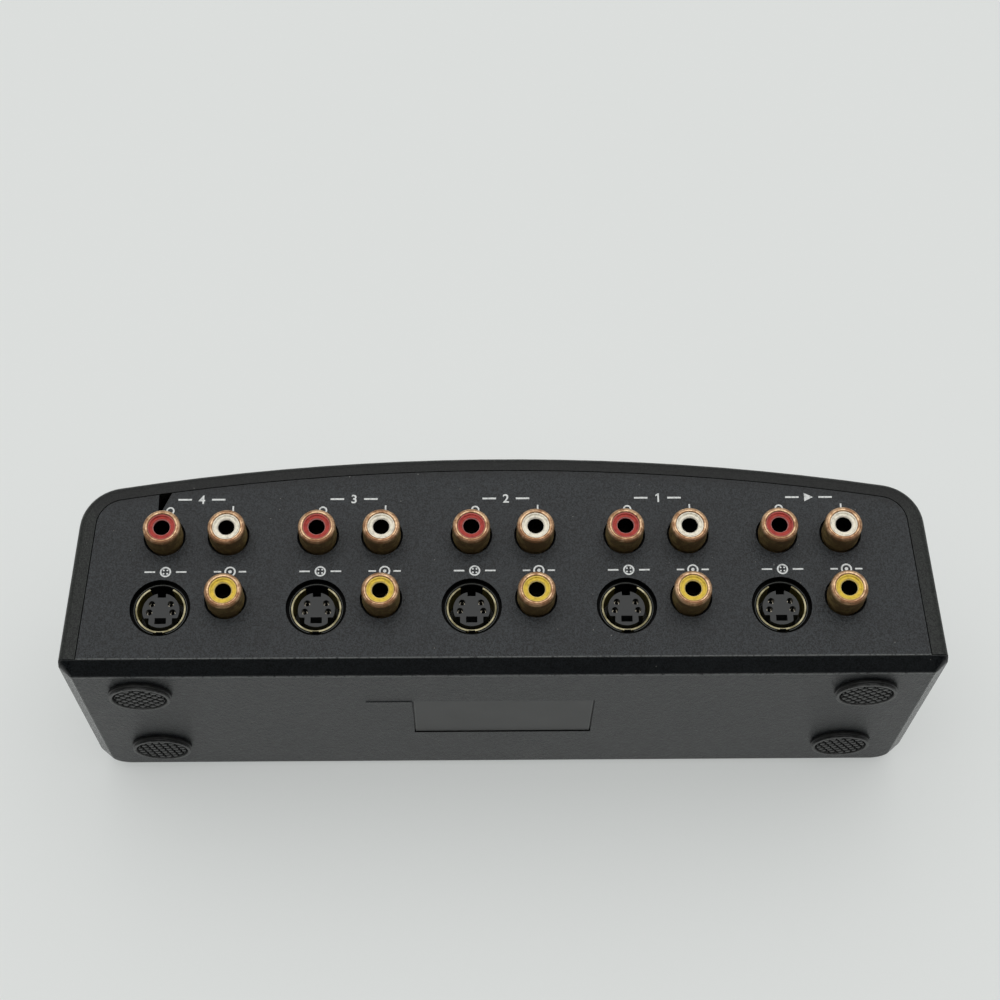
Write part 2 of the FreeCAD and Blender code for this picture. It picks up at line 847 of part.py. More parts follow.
def underside(tray):
    """The sunk field of a label in the middle of the underside, and a small raised pad beside it."""
    rear = REAR_FACE - s.label_behind
    half = s.label_width / 2
    field = sketch_at_z(tray, s.foot_height)
    rectangle(field, -half, rear - s.label_length, half, rear)
    pocket(tray, field, s.label_depth, reverse=True)
    mark = sketch_at_z(tray, s.foot_height)
    rectangle(mark, half + s.pad_gap, rear - s.pad_length, half + s.pad_gap + s.pad_width, rear)
    pad(tray, mark, s.pad_height, reverse=True)


def blank_label():
    """A thin film with nothing on it, that lies in the sunk field with a gap round it."""
    rear = REAR_FACE - s.label_behind - s.label_clearance
    half = s.label_width / 2 - s.label_clearance
    film = body("blank_label")
    outline = sketch_at_z(film, s.foot_height + s.label_depth)
    rectangle(outline, -half, rear - s.label_length + s.label_clearance * 2, half, rear)
    pad(film, outline, s.label_thickness, reverse=True)


def foot(name, side, row, turn):
    """A rubber foot: a flange, a waist and a flat sole ring round a sunk tread of small squares."""
    pad_body = body(name, side * s.foot_spread / 2, FOOT_ROWS[row], 0, Rotation(Vector(0, 0, 1), turn))
    disc = circle(sketch_at_z(pad_body, s.tread_low), 0, 0, s.tread_radius)
    pad(pad_body, disc, s.foot_height - s.tread_low)
    reach = s.tread_radius * 2
    for across in (True, False):
        grooves = sketch_at_z(pad_body, s.tread_low)
        for index in range(TREAD_GROOVES):
            middle = s.tread_pitch * (index - (TREAD_GROOVES - 1) / 2)
            low, high = middle - s.tread_groove / 2, middle + s.tread_groove / 2
            if across:
                rectangle(grooves, low, -reach, high, reach)
            else:
                rectangle(grooves, -reach, low, reach, high)
        pocket(pad_body, grooves, s.tread_floor - s.tread_low, reverse=True)
    rim = sketch_at_y(pad_body, 0)
    sole_inside = s.sole_radius - s.sole_width
    inside = s.tread_radius - s.sole_width
    polygon(rim, [
        (inside, s.tread_floor), (sole_inside, s.tread_floor), (sole_inside, ZERO), (s.sole_radius, ZERO),
        (s.sole_radius, s.sole_thickness), (s.waist_radius, s.sole_thickness), (s.waist_radius, s.foot_step),
        (s.foot_radius, s.foot_step), (s.foot_radius, s.foot_height), (inside, s.foot_height)])
    ring = pad_body.newObject("PartDesign::Revolution", name + "_ring")
    ring.Profile = rim
    ring.ReferenceAxis = (rim, ["V_Axis"])
    ring.Angle = 360
    checked(pad_body, ring, True)


def case_screws():
    """One self-tapping screw up through each foot's place into a post of the upper case."""
    seat = s.foot_height + s.counterbore_depth
    screws = []
    for x, y in screw_places():
        head = rod("case_screw_head", "Z", (x, y, seat - s.head_height), s.head_radius, s.head_height)
        shank = rod("case_screw_shank", "Z", (x, y, seat), s.screw_radius, s.screw_length)
        screws.append(fuse("case_screw", [head, shank]))
    sub_part("case_screws", group("case_screws", screws))


# Jacks

def facing_out(depth):
    """The Y of a face that lies a depth below the rear face."""
    return REAR_FACE - depth


def phono_shell(x, z):
    """A turned shell: a full barrel outside the case, a slimmer neck inside, and a rounded lip."""
    neck = rod("shell_neck", "Y", (x, facing_out(s.shell_seat_depth), z),
               s.shell_radius - s.shell_neck_step, s.shell_seat_depth + s.jack_proud / 2)
    barrel = rod("shell_barrel", "Y", (x, REAR_FACE, z), s.shell_radius, s.jack_proud)
    bore = rod("shell_bore", "Y", (x, facing_out(s.shell_seat_depth), z),
               s.shell_bore, s.shell_seat_depth + s.jack_proud)
    tube = cut("shell_tube", fuse("shell_outside", [neck, barrel]), [bore])
    doc.recompute()
    tip = REAR_FACE.number + s.jack_proud.number
    lips = {s.shell_radius.number: s.shell_outer_lip.number, s.shell_bore.number: s.shell_inner_lip.number}
    rounded = doc.addObject("Part::Fillet", "shell")
    rounded.Base = tube
    rounded.Edges = [
        (number, lip, lip)
        for number, edge in enumerate(tube.Shape.Edges, 1)
        for radius, lip in lips.items()
        if isinstance(edge.Curve, Part.Circle) and abs(edge.Curve.Radius - radius) < 1e-4
        and abs(edge.Curve.Center.y - tip) < 1e-4
    ]
    return rounded


def phono_insert(x, z):
    """The coloured insulator in a shell, dished within a rim, with the bore that takes a plug's pin."""
    back = facing_out(s.shell_seat_depth)
    front = REAR_FACE + s.jack_proud - s.insert_recess
    face = front - s.insert_dish
    narrow = REAR_FACE + s.pin_bore_start
    radius = s.shell_bore - s.insert_clearance
    solid = rod("insert_body", "Y", (x, back, z), radius, front - back)
    dish = rod("insert_dish", "Y", (x, face, z), radius - s.insert_rim, s.insert_dish)
    wide = rod("insert_contact_bore", "Y", (x, back, z), s.contact_bore, narrow - back)
    bore = rod("insert_pin_bore", "Y", (x, back, z), s.pin_bore, face - back)
    mouth = cone("insert_mouth", "Y", (x, face - s.pin_mouth, z), s.pin_bore, s.pin_bore + s.pin_mouth, s.pin_mouth)
    return cut("insert", solid, [dish, wide, bore, mouth])


def phono_contact(x, z):
    """A spring tube behind the pin's bore, closed at its end, with a tail through the jack board."""
    back = facing_out(s.shell_seat_depth)
    radius = s.contact_bore - s.contact_clearance
    tube = rod("contact_tube", "Y", (x, back, z), radius, s.contact_length)
    hollow = rod("contact_hollow", "Y", (x, back + s.contact_floor, z), radius - s.contact_wall, s.contact_length)
    tail = rod("contact_tail", "Y", (x, TAIL_END, z), s.tail_radius, back - TAIL_END)
    return fuse("contact", [cut("contact_cup", tube, [hollow]), tail])


def svideo_shield(name, x, z):
    """A ring of rolled sheet with a gap at its top."""
    back, front = facing_out(s.shield_seat_depth), facing_out(s.shield_recess)
    length = front - back
    open_turn = Rotation(Vector(0, 0, 1), -90 + s.shield_gap_angle.number / 2)
    solid = rod("shield_body", "Y", (x, back, z), s.shield_radius, length, 360 - s.shield_gap_angle, open_turn)
    hollow = rod("shield_hollow", "Y", (x, back, z), s.shield_radius - s.shield_wall, length)
    sub_part(name, cut(name, solid, [hollow]))


def svideo_insert(name, middle):
    """The grey insulator: a flange, a core with a key slot and two shoulders, and four pin holes."""
    x, z = svideo_place(middle)
    back, front = facing_out(s.shield_seat_depth), facing_out(s.core_recess)
    length = front - back
    flange_radius = s.shield_radius - s.shield_wall - s.shell_seat_clearance
    core = rod("core", "Y", (x, back, z), s.core_radius, length)
    flange = rod("core_flange", "Y", (x, back, z), flange_radius, s.core_flange)
    above = back + s.core_flange
    tools = [
        block("core_top_notch",
              (x - s.core_top_notch_width / 2, above, z + s.core_radius - s.core_top_notch_depth),
              (x + s.core_top_notch_width / 2, front, z + s.core_radius)),
        block("core_key",
              (x - s.key_width / 2, front - s.key_depth, z - s.key_drop - s.key_height / 2),
              (x + s.key_width / 2, front, z - s.key_drop + s.key_height / 2)),
        block("core_left_shoulder",
              (x - s.core_radius, above, z - s.core_radius),
              (x - s.core_shoulder_across, front, z - s.core_shoulder_drop)),
        block("core_right_shoulder",
              (x + s.core_shoulder_across, above, z - s.core_radius),
              (x + s.core_radius, front, z - s.core_shoulder_drop)),
    ]
    tools += [rod("pin_hole", "Y", (px, back, pz), s.pin_hole_radius, length) for px, pz in svideo_pins(middle)]
    sub_part(name, cut(name, fuse("core_solid", [core, flange]), tools))


def svideo_contact(x, z):
    """A round contact at the bottom of a pin hole, with a tail through the jack board."""
    back = facing_out(s.shield_seat_depth)
    radius = s.pin_hole_radius - s.svideo_contact_clearance
    pin = rod("svideo_pin", "Y", (x, back, z), radius, facing_out(s.svideo_contact_front) - back)
    tail = rod("svideo_tail", "Y", (x, TAIL_END, z), s.tail_radius, back - TAIL_END)
    return fuse("svideo_contact", [pin, tail])


def jack_housing(name, middle):
    """The black moulding behind the rear wall that seats three phono shells and one S-video jack.

    A notched collar round the S-video shield stands into the hole of the rear wall.
    """
    half = s.housing_width / 2
    low, high = s.audio_height - s.housing_below, s.audio_height + s.housing_above
    solid = block("housing_body", (middle - half, HOUSING_BACK, low), (middle + half, INNER_REAR, high))
    neck = s.shell_radius - s.shell_neck_step + s.shell_seat_clearance
    seat, shield_seat = facing_out(s.shell_seat_depth), facing_out(s.shield_seat_depth)
    tail_hole = s.tail_radius + s.tail_clearance
    tools = []
    for x, z in phono_places(middle).values():
        tools.append(rod("neck_seat", "Y", (x, seat, z), neck, INNER_REAR - seat))
        tools.append(rod("tail_hole", "Y", (x, HOUSING_BACK, z), tail_hole, seat - HOUSING_BACK))
    x, z = svideo_place(middle)
    collar_front = facing_out(s.shield_recess)
    collar = rod("collar", "Y", (x, INNER_REAR, z), s.collar_radius, collar_front - INNER_REAR)
    seat_radius = s.shield_radius + s.shell_seat_clearance
    tools.append(rod("shield_seat", "Y", (x, shield_seat, z), seat_radius, collar_front - shield_seat))
    half_notch = s.collar_notch_width / 2
    tools.append(block("collar_notch", (x - half_notch, INNER_REAR, z - s.collar_radius),
                       (x + half_notch, collar_front, z - seat_radius / 2)))
    for px, pz in svideo_pins(middle):
        tools.append(rod("pin_tail_hole", "Y", (px, HOUSING_BACK, pz), tail_hole, shield_seat - HOUSING_BACK))
    sub_part(name, cut(name, fuse("housing_solid", [solid, collar]), tools))


def jacks():
    """Every jack, group by group. Inserts of one colour and contacts of one kind share a node."""
    inserts = {"right": [], "left": [], "video": []}
    centre_contacts, svideo_contacts = [], []
    for index, owner in enumerate(GROUPS):
        middle = group_across(index)
        places = phono_places(middle)
        jack_housing(owner + "_jack_housing", middle)
        shells = [phono_shell(x, z) for x, z in places.values()]
        sub_part(owner + "_phono_shells", group(owner + "_phono_shells", shells))
        for kind, (x, z) in places.items():
            inserts[kind].append(phono_insert(x, z))
            centre_contacts.append(phono_contact(x, z))
        svideo_shield(owner + "_svideo_shield", *svideo_place(middle))
        svideo_insert(owner + "_svideo_insert", middle)
        svideo_contacts += [svideo_contact(x, z) for x, z in svideo_pins(middle)]
    for kind, colour in (("right", "red"), ("left", "white"), ("video", "yellow")):
        sub_part(f"{colour}_inserts", group(f"{colour}_inserts", inserts[kind]))
    sub_part("centre_contacts", group("centre_contacts", centre_contacts))
    sub_part("svideo_contacts", group("svideo_contacts", svideo_contacts))


# Boards, headers and ribbon cable

def jack_board():
    """The upright board behind the jack housings, drilled for every tail and its four screws."""
    board = body("jack_board")
    half = s.jack_board_width / 2
    outline = rectangle(sketch_at_y(board, HOUSING_BACK), -half, s.jack_board_bottom, half, s.jack_board_top)
    pad(board, outline, s.board_thickness)
    holes = sketch_at_y(board, HOUSING_BACK)
    tail_hole = s.tail_radius + s.tail_clearance
    for index in range(len(GROUPS)):
        middle = group_across(index)
        for x, z in list(phono_places(middle).values()) + svideo_pins(middle):
            circle(holes, x, z, tail_hole)
    for x, z in standoff_places():
        circle(holes, x, z, s.board_screw_radius + s.screw_hole_clearance)
    pocket(board, holes, s.board_thickness, reverse=True)


def switch_board():
    """The flat board on posts that carries the switch frame and the contact blocks."""
    board = body("switch_board")
    half = s.switch_board_width / 2
    front = FRONT_FACE + s.switch_board_front
    top = SWITCH_FRAME_LOW
    low = top - s.board_thickness
    pad(board, rectangle(sketch_at_z(board, low), -half, front, half, front + s.switch_board_depth),
        s.board_thickness)
    holes = sketch_at_z(board, low)
    for x, y in switch_post_places():
        circle(holes, x, y, s.board_screw_radius + s.screw_hole_clearance)
    pocket(board, holes, s.board_thickness, reverse=True)


def board_screw(axis, seat):
    """A small screw whose head rests on a board at seat, before an upright board or above a flat one."""
    x, y, z = seat
    if axis == "Y":
        head_start, shank_start = (x, y - s.board_screw_head_height, z), (x, y, z)
    else:
        head_start, shank_start = (x, y, z), (x, y, z - s.board_screw_length)
    head = rod("board_screw_head", axis, head_start, s.board_screw_head_radius, s.board_screw_head_height)
    shank = rod("board_screw_shank", axis, shank_start, s.board_screw_radius, s.board_screw_length)
    return fuse("board_screw", [head, shank])


def board_screws():
    into_wall = [board_screw("Y", (x, JACK_BOARD_BACK, z)) for x, z in standoff_places()]
    into_floor = [board_screw("Z", (x, y, SWITCH_FRAME_LOW)) for x, y in switch_post_places()]
    sub_part("jack_board_screws", group("jack_board_screws", into_wall))
    sub_part("switch_board_screws", group("switch_board_screws", into_floor))


def ribbon():
    """Two headers and the flat cable between them, which rises, bends once and runs to the rear."""
    half = s.header_width / 2
    board_rear = FRONT_FACE + s.switch_board_front + s.switch_board_depth
    rise_y = board_rear - s.switch_header_inset
    low = SWITCH_FRAME_LOW
    depth = s.header_depth / 2
    standing = block("switch_header", (-half, rise_y - depth, low), (half, rise_y + depth, low + s.header_rise))
    lying_front = JACK_BOARD_BACK - s.header_rise
    lying = block("jack_header", (-half, lying_front, s.jack_header_height - depth),
                  (half, JACK_BOARD_BACK, s.jack_header_height + depth))
    sub_part("ribbon_headers", group("ribbon_headers", [standing, lying]))
    cable = body("ribbon_cable")
    near_side, far_side = rise_y - s.ribbon_thickness / 2, rise_y + s.ribbon_thickness / 2
    under, over = s.jack_header_height - s.ribbon_thickness / 2, s.jack_header_height + s.ribbon_thickness / 2
    bottom = low + s.header_rise
    profile = polygon(sketch_at_x(cable, -s.ribbon_width / 2), [
        (near_side, bottom), (far_side, bottom), (far_side, under),
        (lying_front, under), (lying_front, over), (near_side, over)])
    solid = pad(cable, profile, s.ribbon_width)
    at = lambda y, z: lambda point: near(point.y, y) and near(point.z, z)
    solid = fillet(cable, solid, s.ribbon_bend, at(near_side, over))
    fillet(cable, solid, s.ribbon_bend - s.ribbon_thickness, at(far_side, under))


# Front: fascia, buttons and switch bank

def fascia():
    """The plate in the front opening, with a flange behind the front wall and four apertures."""
    plate = body("front_fascia")
    outer = s.fascia_width / 2, s.fascia_height / 2
    flange = outer[0] + s.fascia_flange, outer[1] + s.fascia_flange
    field = centred(sketch_at_y(plate, FRONT_FACE + s.fascia_setback), outer[0], outer[1])
    solid = pad(plate, field, s.front_wall - s.fascia_setback, reverse=True)
    corner = lambda point: near(abs(point.x), outer[0]) and near(abs(point.z - s.button_height.number), outer[1])
    fillet(plate, solid, s.fascia_corner, corner, ALONG_Y)
    pad(plate, centred(sketch_at_y(plate, INNER_FRONT), *flange), s.fascia_flange_thickness, reverse=True)
    apertures = sketch_at_y(plate, FRONT_FACE + s.fascia_setback)
    for number in BUTTONS:
        centred(apertures, s.cap_width / 2 + s.aperture_clearance,
                s.cap_height / 2 + s.aperture_clearance, button_across(number))
    pocket(plate, apertures, s.front_wall - s.fascia_setback + s.fascia_flange_thickness)


def centred(sketch, half_width, half_height, x=0):
    """A rectangle whose middle is at the height of the buttons."""
    x = as_size(x)
    return rectangle(sketch, x - half_width, s.button_height - half_height,
                     x + half_width, s.button_height + half_height)


def button(number):
    """A hollow cap with a retaining flange and a boss that grips its plunger."""
    cap = body(f"button_{number}", button_across(number))
    half_width, half_height = s.cap_width / 2, s.cap_height / 2
    solid = pad(cap, centred(sketch_at_y(cap, CAP_FRONT), half_width, half_height), s.cap_depth, reverse=True)
    corner = lambda point: near(abs(point.x), half_width) and near(abs(point.z - s.button_height.number), half_height)
    solid = fillet(cap, solid, s.cap_corner, corner, ALONG_Y)
    fillet(cap, solid, s.cap_rounding, lambda point: near(point.y, CAP_FRONT))
    flange_front = FASCIA_REAR + s.cap_flange_gap
    flange = centred(sketch_at_y(cap, flange_front), half_width + s.cap_flange, half_height + s.cap_flange)
    pad(cap, flange, s.cap_flange_thickness, reverse=True)
    hollow = sketch_at_y(cap, CAP_REAR)
    centred(hollow, half_width - s.cap_wall, half_height - s.cap_wall)
    stem_half_width = s.plunger_width / 2 + s.plunger_clearance
    stem_half_height = s.plunger_thickness / 2 + s.plunger_clearance
    centred(hollow, stem_half_width + s.cap_boss_wall, stem_half_height + s.cap_boss_wall)
    pocket(cap, hollow, s.cap_depth - s.cap_face, reverse=True)
    socket = centred(sketch_at_y(cap, CAP_REAR), stem_half_width, stem_half_height)
    pocket(cap, socket, s.plunger_grip, reverse=True)


def plunger(number):
    """A flat bar from the cap through the frame, with a spring collar and a one-sided barb."""
    bar = body(f"plunger_{number}", button_across(number))
    half_width, half_height = s.plunger_width / 2, s.plunger_thickness / 2
    tip = CAP_REAR - s.plunger_grip
    pad(bar, centred(sketch_at_y(bar, tip), half_width, half_height), s.plunger_length, reverse=True)
    half = s.collar_size / 2
    pad(bar, centred(sketch_at_y(bar, CAP_REAR), half, half), s.collar_thickness, reverse=True)
    catch = SWITCH_FRAME_FRONT
    barb = sketch_at_z(bar, s.button_height - half_height)
    polygon(barb, [(-half_width, catch), (-half_width, catch + s.barb_height),
                   (-half_width - s.barb_height, catch)])
    pad(bar, barb, s.plunger_thickness)


def plunger_window(sketch, number):
    """An opening that clears one plunger and its barb."""
    x = button_across(number)
    half_width = s.plunger_width / 2 + s.window_clearance
    half_height = s.plunger_thickness / 2 + s.window_clearance
    rectangle(sketch, x - half_width - s.barb_height, s.button_height - half_height,
              x + half_width, s.button_height + half_height)


def switch_frame():
    """A folded steel frame, open above and below, that guides the plungers and the latch bar."""
    frame = body("switch_frame")
    half = s.frame_width / 2
    rear = SWITCH_FRAME_FRONT + s.frame_depth
    pad(frame, rectangle(sketch_at_z(frame, SWITCH_FRAME_LOW), -half, SWITCH_FRAME_FRONT, half, rear),
        s.frame_height)
    inside = rectangle(sketch_at_z(frame, SWITCH_FRAME_LOW), s.frame_sheet - half,
                       SWITCH_FRAME_FRONT + s.frame_sheet, half - s.frame_sheet, rear - s.frame_sheet)
    pocket(frame, inside, s.frame_height, reverse=True)
    front_windows, rear_windows = sketch_at_y(frame, SWITCH_FRAME_FRONT), sketch_at_y(frame, rear)
    for number in BUTTONS:
        plunger_window(front_windows, number)
        centred(rear_windows, s.plunger_width / 2 + s.window_clearance,
                s.plunger_thickness / 2 + s.window_clearance, button_across(number))
    pocket(frame, front_windows, s.frame_sheet)
    pocket(frame, rear_windows, s.frame_sheet, reverse=True)
    slot = sketch_at_x(frame, half)
    tab_half = s.latch_tab_height / 2 + s.latch_gap
    rectangle(slot, LATCH_FRONT - s.latch_gap, s.button_height - tab_half,
              LATCH_FRONT + s.latch_sheet + s.latch_gap, s.button_height + tab_half)
    pocket(frame, slot, s.frame_width)


def latch_bar():
    """The sliding bar whose windows catch the barbs, with a tab through each end of the frame.

    It stands drawn back by latch_travel, where every barb can pass. The tab at +X is long enough
    for the latch spring and ends in a head.
    """
    bar = body("latch_bar")
    half, frame_half, middle = s.latch_width / 2, s.frame_width / 2, s.button_height
    tab, head = s.latch_tab_height / 2, s.latch_head_height / 2
    pad(bar, centred(sketch_at_y(bar, LATCH_FRONT), half, s.latch_height / 2), s.latch_sheet, reverse=True)
    head_start = frame_half + s.latch_spring_space
    head_end = head_start + s.latch_head_length
    right = polygon(sketch_at_y(bar, LATCH_FRONT), [
        (half - s.latch_sheet, middle - tab), (head_start, middle - tab), (head_start, middle - head),
        (head_end, middle - head), (head_end, middle + head), (head_start, middle + head),
        (head_start, middle + tab), (half - s.latch_sheet, middle + tab)])
    pad(bar, right, s.latch_sheet, reverse=True)
    left_end = -(frame_half + s.latch_tab_proud + s.latch_travel)
    left = rectangle(sketch_at_y(bar, LATCH_FRONT), left_end, middle - tab, s.latch_sheet - half, middle + tab)
    pad(bar, left, s.latch_sheet, reverse=True)
    windows = sketch_at_y(bar, LATCH_FRONT)
    for number in BUTTONS:
        plunger_window(windows, number)
    pocket(bar, windows, s.latch_sheet)


def contact_block(number):
    """The insulating block that a plunger slides through, standing on the switch board."""
    housing = body(f"contact_block_{number}", button_across(number))
    front = SWITCH_FRAME_FRONT + s.contact_block_start
    rear = SWITCH_FRAME_FRONT + s.frame_depth - s.frame_sheet - s.contact_block_gap
    half = s.contact_block_width / 2
    solid = sketch_at_z(housing, SWITCH_FRAME_LOW)
    rectangle(solid, -half, front, half, rear)
    pad(housing, solid, s.frame_height - s.frame_sheet)
    channel = centred(sketch_at_y(housing, front), s.plunger_width / 2 + s.window_clearance,
                      s.plunger_thickness / 2 + s.window_clearance)
    pocket(housing, channel, rear - front)


# Springs

def arc_middle(start, way, end):
    """The middle point of the arc that leaves start along way and ends at end."""
    chord = end - start
    side = (chord - way * chord.dot(way)).normalize()
    radius = chord.dot(chord) / (2 * chord.dot(side))
    centre = start + side * radius
    return centre + ((start + end) / 2 - centre).normalize() * radius


def biarc(start, start_way, end, end_way):
    """Two tangent arcs that leave start along one direction and reach end along another."""
    chord, ways = end - start, start_way + end_way
    turn = 2 * (1 - start_way.dot(end_way))
    reach = (math.sqrt(chord.dot(ways) ** 2 + turn * chord.dot(chord)) - chord.dot(ways)) / turn
    joint = (start + end + (start_way - end_way) * reach) / 2
    return [
        Part.Arc(start, arc_middle(start, start_way, joint), joint).toShape(),
        Part.Arc(joint, arc_middle(end, -end_way, joint), end).toShape(),
    ]


def coil_spring(name, start, axis, length, radius, turns):
    """A helix of round wire: one tube along biarcs of a quarter turn.

    A point at angle a stands at start + across cos a + beside sin a + axis pitch a / (2 pi).
    """
    wire = s.spring_wire.number
    pitch = (length - wire) / turns
    beside = Vector(0, 0, 1)
    across = beside.cross(axis)
    origin = start + axis * (wire / 2)
    rise = pitch / (2 * math.pi)

    def at(angle):
        return origin + across * (radius * math.cos(angle)) + beside * (radius * math.sin(angle)) + axis * (rise * angle)

    def way(angle):
        spin = beside * math.cos(angle) - across * math.sin(angle)
        return (spin * radius + axis * rise).normalize()

    angles = [quarter * math.pi / 2 for quarter in range(4 * turns + 1)]
    edges = [
        edge for first, after in zip(angles, angles[1:])
        for edge in biarc(at(first), way(first), at(after), way(after))
    ]
    section = Part.Wire(Part.Circle(at(0), way(0), wire / 2).toShape())
    piece = doc.addObject("Part::Feature", name)
    piece.Shape = Part.Wire(edges).makePipeShell([section], True, False)
    steps = 48
    points = [at(step * 2 * math.pi / steps) for step in range(steps * turns + 1)]
    gap = min(
        points[low].distanceToPoint(points[high])
        for low in range(len(points)) for high in range(low + steps // 2, len(points))) - wire
    print(f"{name}: {turns} turns, least gap to itself {gap:.2f} mm")
    return sub_part(name, piece)


def springs():
    seat_gap = s.spring_seat_gap.number
    start = CAP_REAR.number + s.collar_thickness.number + seat_gap
    length = SWITCH_FRAME_FRONT.number - seat_gap - start
    for number in BUTTONS:
        foot_point = Vector(button_across(number).number, start, s.button_height.number)
        coil_spring(f"return_spring_{number}", foot_point, Vector(0, 1, 0), length,
                    s.return_spring_radius.number, RETURN_SPRING_TURNS)
    side = s.frame_width.number / 2 + seat_gap
    head = s.frame_width.number / 2 + s.latch_spring_space.number - seat_gap
    middle = LATCH_FRONT.number + s.latch_sheet.number / 2
    coil_spring("latch_spring", Vector(side, middle, s.button_height.number), Vector(1, 0, 0), head - side,
                s.latch_spring_radius.number, LATCH_SPRING_TURNS)


def build():
    lower_case()
    blank_label()
    upper_case()
    fascia()
    for name, (side, row, turn) in FEET.items():
        foot(name, side, row, turn)
    case_screws()
    jacks()
    jack_board()
    switch_board()
    board_screws()
    ribbon()
    switch_frame()
    latch_bar()
    for number in BUTTONS:
        button(number)
        plunger(number)
        contact_block(number)
    springs()
    doc.recompute()


def check():
    """Stop if any object failed or any sub-part is empty or not valid."""
    for item in doc.Objects:
        if "Invalid" in item.State or "Error" in item.State:
            raise ValueError(f"{item.Name} failed: {item.State}")
    for name, piece in PARTS.items():
        if piece.Shape.isNull() or not piece.Shape.isValid() or not piece.Shape.Solids:
            raise ValueError(f"{name} has no valid solid")


def export():
    os.makedirs("parts", exist_ok=True)
    for name, piece in PARTS.items():
        piece.Shape.exportStep(f"parts/{name}.step")
    print(len(PARTS), "sub-parts")


build()
check()
export()
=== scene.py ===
"""Finishes, moulded feet, springs, raised marks, stage and camera for a desktop selector switch.

The frame is the unit's own, in metres: +Z up, soles at Z = 0, buttons towards -Y, jacks towards +Y.
The photograph shows the unit lying on its front, seen from behind and below, so the pale table is an
upright sheet at the front face here.
"""
import json
import math

import bpy
import numpy as np
from mathutils import Matrix, Vector


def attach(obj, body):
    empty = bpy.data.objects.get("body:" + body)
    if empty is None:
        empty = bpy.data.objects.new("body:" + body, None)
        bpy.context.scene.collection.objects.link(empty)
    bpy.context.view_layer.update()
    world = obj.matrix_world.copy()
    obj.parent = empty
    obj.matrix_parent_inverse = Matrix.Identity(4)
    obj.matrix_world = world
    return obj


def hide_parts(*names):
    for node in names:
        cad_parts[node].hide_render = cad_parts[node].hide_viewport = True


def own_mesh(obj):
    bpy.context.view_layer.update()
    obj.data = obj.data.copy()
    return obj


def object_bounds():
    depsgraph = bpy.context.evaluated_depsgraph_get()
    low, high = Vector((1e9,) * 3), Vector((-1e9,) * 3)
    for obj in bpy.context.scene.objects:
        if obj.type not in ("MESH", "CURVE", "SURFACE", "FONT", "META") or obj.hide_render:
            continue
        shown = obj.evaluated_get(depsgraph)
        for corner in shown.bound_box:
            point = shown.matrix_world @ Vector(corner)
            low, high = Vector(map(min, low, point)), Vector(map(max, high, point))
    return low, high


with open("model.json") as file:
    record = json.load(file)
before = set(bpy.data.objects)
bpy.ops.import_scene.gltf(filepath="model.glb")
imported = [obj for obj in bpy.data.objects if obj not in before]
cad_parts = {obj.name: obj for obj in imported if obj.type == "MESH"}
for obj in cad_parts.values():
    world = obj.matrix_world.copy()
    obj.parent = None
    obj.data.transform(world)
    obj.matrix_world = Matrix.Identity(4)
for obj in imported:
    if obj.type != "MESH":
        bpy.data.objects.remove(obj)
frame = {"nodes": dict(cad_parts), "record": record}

NODES = frame["nodes"]
CAD_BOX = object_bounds()
MM = 0.001
GROUPS = ("output", "input_1", "input_2", "input_3", "input_4")
BUTTONS = (1, 2, 3, 4)

# Places and sizes that the finishes and the new pieces share with the solids, in millimetres

# Jacks: the grid, and depths along Y
GROUP_PITCH = 33.6
JACK_SPREAD = 14.0
AUDIO_HEIGHT = 33.1
VIDEO_HEIGHT = 18.17
SVIDEO_HEIGHT = 16.27
REAR_FACE = 29.28
JACK_TIP = 34.72
INSERT_FACE = 34.27

# Jacks: radii about their axes
MOUTH_RADIUS = 1.88
INSERT_RING = 2.68
INSERT_EDGE = 2.9
LIP_RING = 3.56
SHIELD_OUTSIDE = 5.16
COLLAR_EDGE = 5.72

# Case
UNDERSIDE = 1.5
TRAY_TOP = 4.4
SLOPE_TOP = 4.5
SLOPE_FOOT = 26.08
ARCH_RADIUS = 527.0
CREST = (45.5, 50.0)
CASE_HALF = 95.3
STRIP_INNER = 92.35
LABEL_HALF = 19.95
LABEL_FRONT = -11.02
RECESS_REACH = (21.0, 25.0)

# Buttons, feet, the pins of the S-video jacks and the return springs
BUTTON_FACE = -34.32
BUTTON_PITCH = 35.0
BUTTON_HEIGHT = 26.0
FOOT_ACROSS = 79.5
FOOT_ROWS = (15.92, -19.08)
PIN_PLACES = ((2.05, 1.5), (2.52, -0.43))
PRONG_ROOT, PRONG_TIP = 23.28, 26.7
SPRING = dict(front=-24.22, rear=-16.12, radius=3.2, wire=0.5, turns=6)


# Shader maths

class Signal:
    """A shader socket that Python's operators extend with Math nodes."""

    def __init__(self, net, socket):
        self.net = net
        self.socket = socket

    def __add__(self, other):
        return self.net.math("ADD", self, other)

    def __sub__(self, other):
        return self.net.math("SUBTRACT", self, other)

    def __rsub__(self, other):
        return self.net.math("SUBTRACT", other, self)

    def __mul__(self, other):
        return self.net.math("MULTIPLY", self, other)

    def __abs__(self):
        return self.net.math("ABSOLUTE", self)

    __radd__ = __add__
    __rmul__ = __mul__

    def least(self, other):
        return self.net.math("MINIMUM", self, other)

    def near(self, level, reach):
        """1 at a level, 0 from reach away."""
        return abs(self - level).ramp(reach, reach * 0.2)

    def ramp(self, low, high):
        """0 up to low, 1 from high, smooth between them; high may be the smaller."""
        return self.net.node(
            "ShaderNodeMapRange", {"interpolation_type": "SMOOTHSTEP"},
            Value=self, **{"From Min": low, "From Max": high})


